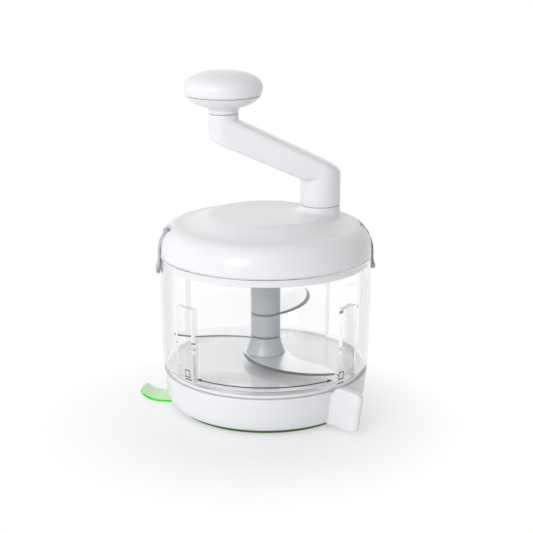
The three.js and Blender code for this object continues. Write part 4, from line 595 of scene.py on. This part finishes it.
    # Painted shade: the ribs' steps are painted grey, in place of the dark of bent light.
    rib_plastic = nodes.add("ShaderNodeBsdfTransparent", {"Color": nodes.tinted(steps, tint, painted_step_shade)})
    foot_plastic = nodes.add("ShaderNodeBsdfTransparent", {"Color": foot_tint})
    wall = nodes.layered(ribs, wall, rib_plastic.outputs[0])
    nodes.surface(nodes.layered(foot, wall, foot_plastic.outputs[0]))
    look.diffuse_color = (0.95, 0.97, 0.98, 0.3)
    return look


clear = clear_plastic()
far_away = 1e3


def scoop_limit(azimuth_deg, height, grow):
    """The radius at which a ray from the axis meets either finger scoop, or a large number. A scoop
    is an ellipsoid outside the wall, with its middle's radius and height and its half sizes out,
    across and up."""
    middle, half = (83.1, 96.3), (11 + grow, 22 + grow, 13 + grow)
    limit = np.full(np.broadcast(azimuth_deg, height).shape, far_away)
    for scoop_azimuth in latch_azimuths.values():
        turn = np.radians((azimuth_deg - scoop_azimuth + 180) % 360 - 180)
        a = (np.cos(turn) / half[0]) ** 2 + (np.sin(turn) / half[1]) ** 2
        b = -2 * middle[0] * np.cos(turn) / half[0] ** 2
        c = (middle[0] / half[0]) ** 2 + ((height - middle[1]) / half[2]) ** 2 - 1
        root = b * b - 4 * a * c
        meets = (root > 0) & (np.abs(turn) < 1)
        near = (-b - np.sqrt(np.where(meets, root, 0))) / (2 * a)
        limit = np.where(meets, np.minimum(limit, near), limit)
    return limit


def rib_limit(azimuth_deg):
    """The radius of the ribs' inner face at an azimuth: straight in plan from the wall to the crest."""
    limit = np.full(azimuth_deg.shape, far_away)
    for face in rib_faces:
        behind = (face - azimuth_deg + 180) % 360 - 180
        share = 1 - behind / rib_span
        radius = rib_start + (rib_crest - rib_start) * share
        limit = np.where((behind >= 0) & (behind <= rib_span), radius, limit)
    return limit


def bowl_points():
    """Rows run round the bowl and columns run up the outside, over the rim, down the inside,
    across the floor and back under it. The scoops dent the outer wall, and the scoops and the ribs
    stand in from the inner one."""
    extra = np.array([offset for face in rib_faces for offset in
                      (face - 0.001, face + 0.12, face - rib_span + 0.001, face - rib_span - 0.12)])
    azimuth = np.unique(np.round(np.concatenate([np.arange(0, 360, 0.6), extra % 360]), 4))[:, None]
    rim_inner, rim_start = rim_radius - bowl_wall, bowl_rim - 0.9
    rim = eased([(rim_radius, rim_start), (rim_radius, bowl_rim), (rim_inner, bowl_rim),
                 (rim_inner, rim_start)], [0, 0.6, 0.6, 0], closed=False)
    outside = bowl_outer[(bowl_outer[:, 1] > bowl_foot + 0.5) & (bowl_outer[:, 1] < rim_start)]
    rib_ends = [rib_top - 0.35, rib_top - 0.1, rib_top]
    inner_height = np.unique(np.concatenate([np.linspace(36, 111, 80), rib_ends]))[::-1]
    inner_radius = np.interp(inner_height, bowl_outer[:, 1], bowl_outer[:, 0]) - bowl_wall
    inside = np.stack([inner_radius, inner_height], -1)
    corner = eased([inside[-1], (71.3, floor_top), (60, floor_top)], [0, 2.2, 0], 8, closed=False)[1:]
    foot_inner = wall_foot_radius - bowl_wall
    under = eased([(30, floor_under), (foot_inner, floor_under), (foot_inner, bowl_foot),
                   (wall_foot_radius, bowl_foot), outside[0]], [0, 0.4, 0.3, 0.4, 0], closed=False)[:-1]
    profile = np.concatenate([
        [(0, spigot_foot), (spigot_radius, spigot_foot), (spigot_radius, floor_under)],
        under, outside, rim, inside, corner,
        [(40, floor_top), (20, floor_top), (5.2, floor_top), (pin_hole, floor_top),
         (pin_hole, pin_hole_foot), (0, pin_hole_foot)]])
    outer, inner = np.zeros((2, len(profile)), bool)
    start = 3 + len(under)
    outer[start:start + len(outside)] = True
    start += len(outside) + len(rim)
    inner[start:start + len(inside) + len(corner)] = True
    radius = np.broadcast_to(profile[:, 0], (len(azimuth), len(profile))).copy()
    height = np.broadcast_to(profile[:, 1], radius.shape)
    turn = np.broadcast_to(azimuth, radius.shape)
    dented = np.minimum(radius, scoop_limit(turn, height, 0))
    raised = np.minimum(radius, scoop_limit(turn, height, bowl_wall))
    ribs = np.where(height <= rib_top - 0.2, np.minimum(raised, rib_limit(turn)), raised)
    floor_inside_ribs = 66
    ribs = np.where(radius < floor_inside_ribs, radius, ribs)
    radius = np.where(outer, dented, np.where(inner, ribs, radius))
    angle = np.radians(turn)
    return np.stack([radius * np.cos(angle), radius * np.sin(angle), height], -1)


piece("clear_bowl", *surface_of(bowl_points(), True, False), clear, "bowl", "clear_plastic", ["bowl"], 30)

# Printed signs on the bowl
# Thin dark-grey prints on the outside of the bowl: a two-headed arrow along the base and a plain
# sign at each end for the base gripping and letting go.
ink = moulded("print_ink", (0.035, 0.036, 0.038), (0.05, 0.051, 0.053), 0.5)
print_under, print_top = 0.02, 0.07


def print_strip(azimuths, low, high):
    """A thin strip that lies on the bowl between two lines of heights, as points and faces."""
    azimuths, low, high = np.broadcast_arrays(azimuths, low, high)
    angle = np.radians(azimuths)
    rows = []
    for height, lift in ((low, print_under), (high, print_under), (high, print_top), (low, print_top)):
        radius = np.interp(height, bowl_outer[:, 1], bowl_outer[:, 0]) + lift
        rows.append(np.stack([radius * np.cos(angle), radius * np.sin(angle), height], -1))
    points, faces = surface_of(np.array(rows), True, False)
    first_end = np.arange(4) * len(angle)
    return points, faces + [first_end.tolist(), (first_end + len(angle) - 1).tolist()]


def joined(parts):
    """Several sets of points and faces as one."""
    points, faces, start = [], [], 0
    for some_points, some_faces in parts:
        points.append(some_points)
        faces += [[index + start for index in face] for face in some_faces]
        start += len(some_points)
    return np.concatenate(points), faces


line_half, arrow_height = 0.42, 37.2
head_span, head_half = 3.6, 1.25
left_tip, right_tip = -129.9, -51.8
arrow = [print_strip(np.linspace(-127, -54.8, 120), arrow_height - line_half, arrow_height + line_half)]
for tip, inner in ((left_tip, left_tip + head_span), (right_tip, right_tip - head_span)):
    share = np.linspace(0.02, 1, 12)
    arrow.append(print_strip(tip + (inner - tip) * share, arrow_height - head_half * share,
                             arrow_height + head_half * share))
left_sign, right_sign, sign_half = -136.4, -45.4, 1.9
sign_size, sign_line, corner_gap, edge_share = 5.6, 0.75, 0.02, 0.24
underline_height = 0.8


def square_sign(middle, low):
    """A square outline made of four strips, with a hair's gap between the level and upright ones."""
    high, edge = low + sign_size, sign_half * edge_share
    left, right = middle - sign_half, middle + sign_half
    bottom, top = low + sign_line + corner_gap, high - sign_line - corner_gap
    sides = [(left, right, low, low + sign_line), (left, right, high - sign_line, high),
             (left, left + edge, bottom, top), (right - edge, right, bottom, top)]
    return [print_strip(np.linspace(start, end, 6), lower, upper) for start, end, lower, upper in sides]


def underline(middle, left_share, right_share, low):
    """A level strip under a sign, which reaches to both sides by shares of the sign's half width."""
    azimuths = np.linspace(middle - left_share * sign_half, middle + right_share * sign_half, 10)
    return print_strip(azimuths, low, low + underline_height)


signs = square_sign(left_sign, 36.4) + square_sign(right_sign, 35.6)
signs += [underline(left_sign, 1.1, 1.6, 34.6), underline(right_sign, 1.5, 1.3, 32.6)]
piece("bowl_prints", *joined(arrow + signs), ink, "bowl", "grey_plastic")

# Blade column
# Grey plastic sleeves stacked on a hexagonal tube, with a blade clamped in each joint. Above a
# short foot, the lowest sleeve flares like a bell.
grey = moulded("grey_plastic", (0.4, 0.42, 0.45), (0.38, 0.4, 0.43), 0.3)
sleeve_radius, sleeve_bore = 10.6, 6.8


def sleeve(name, outer, node):
    """A turned sleeve from its outer line upwards, with a plain bore and eased edges."""
    bottom, top = outer[0][1], outer[-1][1]
    outline = np.concatenate([outer, [(sleeve_bore, top), (sleeve_bore, bottom)]])
    cuts = np.array([0.4] + [0] * (len(outer) - 2) + [0.4, 0.2, 0.2])
    piece(name, *turned(eased(outline, cuts, 4), 128), grey, "blades", "grey_plastic", [node])


sleeve("sleeve_foot", [(11.3, 33.8), (11.9, 34.6), (13.3, 36.2), (13.7, 36.8)], "column_foot")
sleeve("sleeve_bell", through([(14.0, 38.4), (13.5, 39.6), (12.3, 42.6), (11.3, 45.8), (10.8, 48.6),
                               (sleeve_radius, 50.2)], 26), "column_lower")
sleeve("sleeve_middle", [(sleeve_radius, 51.8), (sleeve_radius, 67.2)], "column_middle")
sleeve("sleeve_upper", [(sleeve_radius, 68.8), (sleeve_radius, 106.3)], "column_upper")

# Blades
# Stamped stainless steel, each ground to a bevel along its long curved edge. Their hubs are
# clamped between the sleeves.
blade_thickness, blade_reach = 1.2, 66.6
bevel_width, bevel_drop = 2.6, 0.83
under_chamfer, edge_chamfer = 0.1, 0.12


def painted_reflection_steel():
    """Stainless steel coloured by the direction of a face, as painted reflections: the flats are
    painted bright, and the ground bevels and the cut edges are painted dark. Fine noise varies its
    roughness."""
    painted_dark_reflection, painted_bright_reflection = (0.2, 0.205, 0.215, 1), (0.93, 0.935, 0.94, 1)
    look = bpy.data.materials.new("blade_steel")
    nodes = Nodes(look)
    place = nodes.add("ShaderNodeTexCoord").outputs["Object"]
    noise = nodes.add("ShaderNodeTexNoise", {"Scale": 260, "Detail": 5, "Vector": place}).outputs["Fac"]
    # Painted reflections: level faces are painted bright, and sloped bevels and upright edges are painted
    # dark.
    tint = nodes.tinted(nodes.graded(nodes.flatness(), 0.97, 0.99, 0, 1), painted_dark_reflection, painted_bright_reflection)
    nodes.bumped_surface(tint, nodes.graded(noise, 0, 1, 0.27, 0.33), noise, 0.02, 0.00005, {"Metallic": 1})
    look.diffuse_color = (0.8, 0.81, 0.82, 1)
    return look


blade_steel = painted_reflection_steel()


def bezier(*corners, count=40):
    """Points on a quadratic or cubic curve from its control points."""
    t = np.linspace(0, 1, count)[:, None]
    corners = [np.array(corner, float) for corner in corners]
    if len(corners) == 3:
        a, b, c = corners
        return (1 - t) ** 2 * a + 2 * t * (1 - t) * b + t ** 2 * c
    a, b, c, d = corners
    return (1 - t) ** 3 * a + 3 * t * (1 - t) ** 2 * b + 3 * t ** 2 * (1 - t) * c + t ** 3 * d


def blade(name, level, belly, azimuth_deg, node, hub=10.3, end_deg=-110, bulge=((0.8, 0.85), (0.35, 1.5))):
    """A flat leaf: a wavy edge out to the tip, a long curve back, and a round hub. The bulge has
    the long curve's two middle points, as shares of the reach and of the belly. The ground edge
    slopes from the top face down to near the bottom face, and is widest in the middle."""
    start_turn, end_turn = math.radians(60), math.radians(end_deg)
    start = hub * np.array([math.cos(start_turn), math.sin(start_turn)])
    end = hub * np.array([math.cos(end_turn), math.sin(end_turn)])
    wave = bezier(start, (23.3, 2.1), (36.6, 3.6), (50, 6))
    tip = bezier(wave[-1], (63.3, 4.9), (blade_reach, -blade_thickness), count=24)
    edge = bezier(tip[-1], *[(blade_reach * out, -belly * down) for out, down in bulge], end, count=70)
    turn = np.radians(np.linspace(end_deg, -300, 40))
    back = hub * np.stack([np.cos(turn), np.sin(turn)], -1)
    outline = np.concatenate([wave[:-1], tip[:-1], edge[:-1], back[:-1]])
    along = np.roll(outline, -1, 0) - np.roll(outline, 1, 0)
    along /= np.linalg.norm(along, axis=1)[:, None]
    inward = np.stack([-along[:, 1], along[:, 0]], -1)
    leaf_middle = np.array([blade_reach * 0.3, -belly * 0.4])
    inward *= np.sign(np.sum(inward * (leaf_middle - outline), 1).mean())
    ground = np.zeros(len(outline))
    run = np.arange(len(wave) + len(tip) - 2, len(wave) + len(tip) + len(edge) - 3)
    ground[run] = np.sin(np.linspace(0, np.pi, len(run))) ** 0.4
    width = np.maximum(ground * bevel_width, edge_chamfer)[:, None]
    lip = blade_thickness - edge_chamfer - bevel_drop * ground
    bottom, top = np.zeros(len(outline)), np.full(len(outline), blade_thickness)
    levels = [(outline + inward * under_chamfer, bottom), (outline, bottom + under_chamfer),
              (outline, lip), (outline + inward * width, top)]
    rows = [around(line[:, 0], line[:, 1], level + rise, azimuth_deg) for line, rise in levels]
    piece(name, *tube_of(np.array(rows)), blade_steel, "blades", "blade_steel", [node], 20)


blade("leaf_bottom", 37.0, 24.5, -44, "blade_bottom", 16.1, -127.4, ((0.84, 0.98), (0.255, 1.47)))
blade("leaf_middle", 50.4, 17.0, 180, "blade_middle")
blade("leaf_top", 67.4, 17.0, 63.5, "blade_top")

# Lid dish
# A white moulding that plugs the bowl's mouth and closes the gear box from below.
dish_bore, dish_radius, dish_lip = 7.9, 72.4, 70.2
dish_under, dish_floor, dish_top = 106.9, 108.9, 115.1
dish_outline = eased(
    [(dish_bore, dish_under), (dish_radius, dish_under), (dish_radius, dish_top), (dish_lip, dish_top),
     (dish_lip, dish_floor), (dish_bore, dish_floor)], [0.3, 0.8, 0.4, 0.4, 0.6, 0.3])
piece("lid_dish", *turned(dish_outline, 360), white, "lid", "white_plastic", ["lid_base"])

# Lid shell
# A white moulding: a round shoulder, a shallow valley and a low round plateau, with a channel and
# a hinge pocket down each side for the latches.
lid_bottom = 112.7
plateau_radius, flank_width, shoulder_width = 38.4, 22.8, 13.7
plateau_height, valley_height = lid_bottom + 28.1, lid_bottom + 21.2
lid_wall, lid_lip, lid_ceiling = 2.3, 72.6, 131.5
pocket_floor, pocket_back, pocket_half = 123.6, 66.8, 10.8
channel_foot, channel_depth, channel_runout = 119.9, 1.8, 1.2


def lid_profile():
    """The lid's outer line from its middle to its edge: a flat top, a flank, a valley, a full
    shoulder and a small rounded edge, with its corners smoothed along the line."""
    flank = np.linspace(0, 1, 60)[1:]
    early = flank ** 0.8
    flank_fall = (valley_height - plateau_height) * early * early * (3 - 2 * early)
    flank_line = np.stack([plateau_radius + flank_width * flank, plateau_height + flank_fall], -1)
    turn = np.linspace(0, np.pi / 2, 120)[1:]
    foot, roundness = lid_bottom + 2, 2 / 2.3
    shoulder = np.stack([plateau_radius + flank_width + shoulder_width * np.sin(turn) ** roundness,
                         foot + (valley_height - foot) * np.cos(turn) ** roundness], -1)
    flat = [(0, plateau_height), (20, plateau_height), (plateau_radius, plateau_height)]
    line = np.concatenate([flat, flank_line, shoulder])
    way = np.concatenate([[0], np.cumsum(np.linalg.norm(np.diff(line, axis=0), axis=1))])
    step, steps, softness = 0.15, 18, 1.1
    fine = np.arange(0, way[-1], step)
    dense = np.stack([np.interp(fine, way, line[:, axis]) for axis in (0, 1)], -1)
    weight = np.exp(-(np.arange(-steps, steps + 1) * step / softness) ** 2)
    weight /= weight.sum()
    padded = np.concatenate([np.repeat(dense[:1] * [0, 1], steps, 0), dense, np.repeat(dense[-1:], steps, 0)])
    soft = np.stack([np.convolve(padded[:, axis], weight, "valid") for axis in (0, 1)], -1)
    soft[:steps] = dense[:steps]
    soft[-steps:] = dense[-steps:]
    keep = np.concatenate([np.linspace(0, 250, 14).astype(int), np.arange(254, len(soft), 4)])
    edge = eased([soft[-1], (74.75, lid_bottom + 0.9), (74.1, lid_bottom), (lid_lip, lid_bottom)],
                 [0, 0.3, 0.4, 0], closed=False)
    return np.concatenate([soft[keep], edge])


lid_outer = lid_profile()


def lid_height(radius):
    """Height of the lid's top at a radius."""
    upper = lid_outer[lid_outer[:, 1] > lid_bottom + 12]
    return np.interp(radius, upper[:, 0], upper[:, 1])


def lid_points():
    """Rows run round the lid and columns from its middle over the top to the edge, and back under.
    In front of each latch the line is pushed in, and the rows there follow the pocket's straight
    sides."""
    edge_angle = math.degrees(math.asin(pocket_half / 75))
    at_edge = edge_angle + np.array([-0.7, -0.3, 0.0, 0.3, 0.6])
    local = np.concatenate([np.linspace(0, edge_angle - 1.2, 14), at_edge,
                            np.linspace(edge_angle + 1.5, 90, 78)])
    turn = np.concatenate([-local[:0:-1], local])
    inner = np.interp(np.linspace(0, 1, 40), [0, 0.5, 1], [lid_lip, 60, 0])
    under = np.minimum(lid_height(inner - 1.5) - lid_wall, lid_ceiling)
    under = np.where(inner > 71, np.interp(inner, [71, lid_lip], [121.0, 116.0]), under)
    profile = np.concatenate([lid_outer, [(lid_lip, 114.5)], np.stack([inner, under], -1)])
    outer = np.arange(len(profile)) < len(lid_outer)
    radius = np.broadcast_to(profile[:, 0], (len(turn), len(profile)))
    height = np.broadcast_to(profile[:, 1], radius.shape)
    row_edge = np.degrees(np.arcsin(pocket_half / np.maximum(profile[:, 0], 40)))
    size = np.abs(turn)[:, None]
    scale = np.where(size <= edge_angle, size * row_edge / edge_angle,
                     row_edge + (size - edge_angle) * (90 - row_edge) / (90 - edge_angle))
    angle = np.sign(turn)[:, None] * scale
    inside = 1 - np.clip((size - (edge_angle - 0.35)) / 0.65, 0, 1)
    inside = inside * inside * (3 - 2 * inside)
    runout = np.clip((height - channel_foot) / channel_runout, 0, 1)
    pushed = np.where(outer & (radius > pocket_back + 3), channel_depth * runout, 0)
    dropped = np.where(outer & (radius >= pocket_back) & (height > pocket_floor), height - pocket_floor, 0)
    hidden = ~outer & (radius > pocket_back - 3) & (height > pocket_floor - 3)
    height = height - dropped * inside
    height = np.where(hidden, np.minimum(height, pocket_floor - 2.6), height)
    angles = np.radians(np.concatenate([(angle + azimuth)[:-1] for azimuth in latch_azimuths.values()]))
    radius = np.concatenate([(radius - pushed * inside)[:-1]] * 2)
    height = np.concatenate([height[:-1]] * 2)
    return np.stack([radius * np.cos(angles), radius * np.sin(angles), height], -1)


piece("lid_dome", *surface_of(lid_points(), True, False), white, "lid", "white_plastic", ["lid_shell"], 40)

# Crank boss
# Part of the lid's moulding: a round tower that grows out of the plateau with a wide fillet, and
# carries the crank's bearing.
shaft_place = (38.708, 10.083)
boss_radius, boss_edge, boss_top = 14.1, 143.9, 144.6
bore_radius, bore_foot = 7.2, 121.0
least_fillet, fillet_gain = 0.7, 4.3


def boss_points():
    """Rings round the crank's axis. The fillet widens towards the lid's surface, which each
    ring's height starts from, but hardly on the side of the lid's edge. The bore goes down inside."""
    angle = np.linspace(0, 2 * np.pi, 145)[:-1]
    outwards = math.atan2(shaft_place[1], shaft_place[0])
    fillet = least_fillet + fillet_gain * (0.5 - 0.5 * np.cos(angle - outwards))

    def ring(radius):
        return shaft_place[0] + radius * np.cos(angle), shaft_place[1] + radius * np.sin(angle)

    rings = []
    for share, drop in [(0, 2.0), (0, 0.25)] + [(share, 0) for share in np.linspace(0, 1, 22)[1:]]:
        x, y = ring(boss_radius + fillet * (1 - share) ** 2)
        ground = lid_height(np.hypot(x, y))
        rings.append(np.stack([x, y, ground - drop + (boss_edge - ground) * share ** 1.4], -1))
    bore = eased([(boss_radius, boss_edge), (boss_radius, boss_top), (bore_radius, boss_top),
                  (bore_radius, bore_foot), (10.0, bore_foot)], [0, 0.5, 0.3, 0, 0], closed=False)
    for radius, height in bore[1:]:
        rings.append(np.stack([*ring(radius), np.full_like(angle, height)], -1))
    return np.array(rings)


piece("lid_boss", *surface_of(boss_points(), True, True), white, "lid", "white_plastic")

# Latches
# Grey plastic clips. Each turns on a steel pin across its pocket, runs down the channel and ends
# in a thicker finger tab below the bowl's rim.
hinge_reach, hinge_level = 69.9, 126.7
hinge_bore, hinge_bar, bar_ease = 1.3, 2.4, 0.3
strap_half, strap_foot, strap_corner, strap_ease = 10.5, 99.3, 8.0, 0.45
inner_ease_share = 0.2
strap_outer = through([
    (hinge_reach, 129.1), (71.9, 127.9), (73.4, 125.0), (74.9, 121.9), (75.9, 118.8), (76.3, 115.6),
    (76.4, 112.0), (76.4, 108.4), (77.5, 104.2), (78.0, 101.9), (77.5, 100.2), (76.4, strap_foot)], 80)
strap_inner = through([
    (75.5, 99.7), (75.3, 101.5), (75.2, 108), (75.2, 115.6), (74.9, 119.0), (73.5, 121.8),
    (72.0, 123.8), (71.0, 124.7), (hinge_reach, 125.3)], 60)


def strap_shape(azimuth_deg):
    """The clip's side view swept across its width, which narrows round the two lower corners. Its
    edges are eased by drawing the faces inwards there, the inner face less than the outer one."""
    outline = np.concatenate([strap_outer, strap_inner])
    along = np.roll(outline, -1, 0) - np.roll(outline, 1, 0)
    along /= np.linalg.norm(along, axis=1)[:, None]
    outward = np.stack([along[:, 1], -along[:, 0]], -1)
    outward *= np.sign(np.sum(outward[:30] * [1, 0.2]))
    outward[len(strap_outer):] *= inner_ease_share
    turn = np.linspace(0, np.pi / 2, 6)
    edge = strap_half - strap_ease * (1 - np.cos(turn))
    edge_inset = strap_ease * (1 - np.sin(turn))
    stations = np.concatenate([-edge, np.linspace(1 - strap_half, strap_half - 1, 15), edge[::-1]])
    insets = np.concatenate([edge_inset, np.zeros(15), edge_inset[::-1]])
    rows = []
    for station, inset in zip(stations, insets):
        line = outline - outward * inset
        rise = np.clip(line[:, 1] - strap_foot, 0, strap_corner)
        half = strap_half - strap_corner + np.sqrt(strap_corner ** 2 - (strap_corner - rise) ** 2)
        y = station * half / strap_half
        rows.append(around(np.sqrt(line[:, 0] ** 2 - y ** 2), y, line[:, 1], azimuth_deg))
    return tube_of(np.array(rows))


def hinge_bar_shape(azimuth_deg):
    """A straight round bar across the clip's top with a bore for its pin, as rings along its
    length. Its ends are eased."""
    angle = np.linspace(0, 2 * np.pi, 41)[:-1]
    near_end = [(-strap_half, hinge_bore), (-strap_half, hinge_bar - bar_ease),
                (bar_ease - strap_half, hinge_bar)]
    sections = near_end + [(-station, radius) for station, radius in near_end[::-1]]
    bar = [around(hinge_reach + radius * np.cos(angle), np.full_like(angle, station),
                  hinge_level + radius * np.sin(angle), azimuth_deg) for station, radius in sections]
    return surface_of(np.array(bar), True, True)


for side, azimuth in latch_azimuths.items():
    piece(f"clip_{side}", *strap_shape(azimuth), grey, f"latch_{side}", "grey_plastic", [f"latch_{side}"], 50)
    piece(f"clip_{side}_bar", *hinge_bar_shape(azimuth), grey, f"latch_{side}", "grey_plastic", (), 50)

# Crank arm
# One thick white moulding: a round hub, an arm that slopes up and tapers, and a round post for
# the knob.
crank_azimuth = 188.4
hub_radius, post_radius, crank_reach = 14.2, 10.5, 68.4
hub_bottom, hub_top, post_bottom, post_top = 144.9, 169, 199, 211
under_low, under_high, under_start, under_end = 164.5, 193.3, 14.0, 78.9
over_start, over_rise, over_end = 177.5, 28.5 / 57.9, 66
upper_round, lower_round = 4.2, 2.8


def on_crank(x, y, z):
    """Points along, across and above the crank, moved to its shaft."""
    return around(x, y, z, crank_azimuth) + np.array([*shaft_place, 0])


def arm_points():
    """Layers of a tapering outline with round ends. Going up, the layers leave the middle line of
    the underside, round its edge, climb the wall, round the upper edge and close on the middle
    line of the top. Each point's height follows the slope under or over it."""
    lean = math.asin((hub_radius - post_radius) / crank_reach)
    hub_turn = np.linspace(math.pi / 2 - lean, 3 * math.pi / 2 + lean, 61)
    post_turn = np.linspace(-math.pi / 2 + lean, math.pi / 2 - lean, 41)
    side_share = np.linspace(0, 1, 42)[1:-1]
    side = np.ones(len(side_share))
    turn = np.concatenate([hub_turn, side * hub_turn[-1], post_turn, side * post_turn[-1]])
    share = np.concatenate([0 * hub_turn, side_share, np.ones(len(post_turn)), side_share[::-1]])
    centre = share * crank_reach
    radius = hub_radius + (post_radius - hub_radius) * share

    def layer(size, rise, top):
        x = centre + size * np.cos(turn)
        over = over_start + np.minimum(x, over_end) * over_rise
        under = np.interp(x, [under_start, under_end], [under_low, under_high])
        return on_crank(x, size * np.sin(turn), (over if top else under) + rise)

    quarter = np.linspace(0, np.pi / 2, 10)
    rows = [layer((radius - lower_round) * share, 0, False) for share in (0, 0.5)]
    rows += [layer(radius - lower_round * (1 - math.sin(a)), lower_round * (1 - math.cos(a)), False)
             for a in quarter]
    rows += [layer(radius - upper_round * (1 - math.cos(a)), -upper_round * (1 - math.sin(a)), True)
             for a in quarter]
    rows += [layer((radius - upper_round) * share, 0, True) for share in (0.5, 0)]
    return np.array(rows)


post_place = tuple(on_crank(crank_reach, 0, 0)[:2])
hub_outline = eased([(0, hub_bottom), (hub_radius, hub_bottom), (hub_radius, hub_top), (0, hub_top)],
                    [0, 0.8, 0.6, 0])
post_outline = eased([(0, post_bottom), (post_radius, post_bottom), (post_radius, post_top), (0, post_top)],
                     [0, 0.4, 0.8, 0])
crank_parts = [surface_of(arm_points(), False, True), turned(hub_outline, 160, shaft_place),
               turned(post_outline, 128, post_place)]
piece("crank_lever", *joined(crank_parts), white, "crank", "white_plastic", ["crank_arm"], 45)

# Knob
# Two white shells: a body that flares up from its neck and a palm cap pressed on to it.
neck_bottom, body_top = 211.3, 223.6
spindle_hole, body_pocket, pocket_foot = 3.8, 8.5, 219.1
seam_radius, seam_height, cap_height, cap_foot = 27.3, 229.0, 11.5, 223.95
cap_roundness = 2 / 2.25
neck_outline = through([
    (10.3, 211.7), (10.45, 213.2), (11.6, 214.8), (13.9, 216.0), (17.2, 217.1), (20.6, 218.6),
    (23.4, 220.7), (25.2, 222.6), (25.75, 223.5)], 40)
body_outline = np.concatenate([
    [(spindle_hole, neck_bottom), (9.9, neck_bottom)], neck_outline,
    [(25.5, body_top), (body_pocket, body_top), (body_pocket, pocket_foot), (spindle_hole, pocket_foot)]])
piece("knob_neck", *turned(body_outline, 160, post_place), white, "knob", "white_plastic", ["knob_body"])
cap_lower = through([(25.6, cap_foot), (26.1, 224.4), (27.0, 226.6), (seam_radius, seam_height)], 16)
cap_turn = np.linspace(0, np.pi / 2, 48)[1:]
cap_upper = np.stack([seam_radius * np.cos(cap_turn) ** cap_roundness,
                      seam_height + cap_height * np.sin(cap_turn) ** cap_roundness], -1)
cap_upper[-1, 0] = 0
cap_inside = [(0, 238), (14, 237), (22, 232.5), (24, 228), (23.5, cap_foot)]
cap_outline = np.concatenate([cap_inside, cap_lower, cap_upper])
piece("knob_palm", *turned(cap_outline, 192, post_place), white, "knob", "white_plastic", ["knob_cap"])
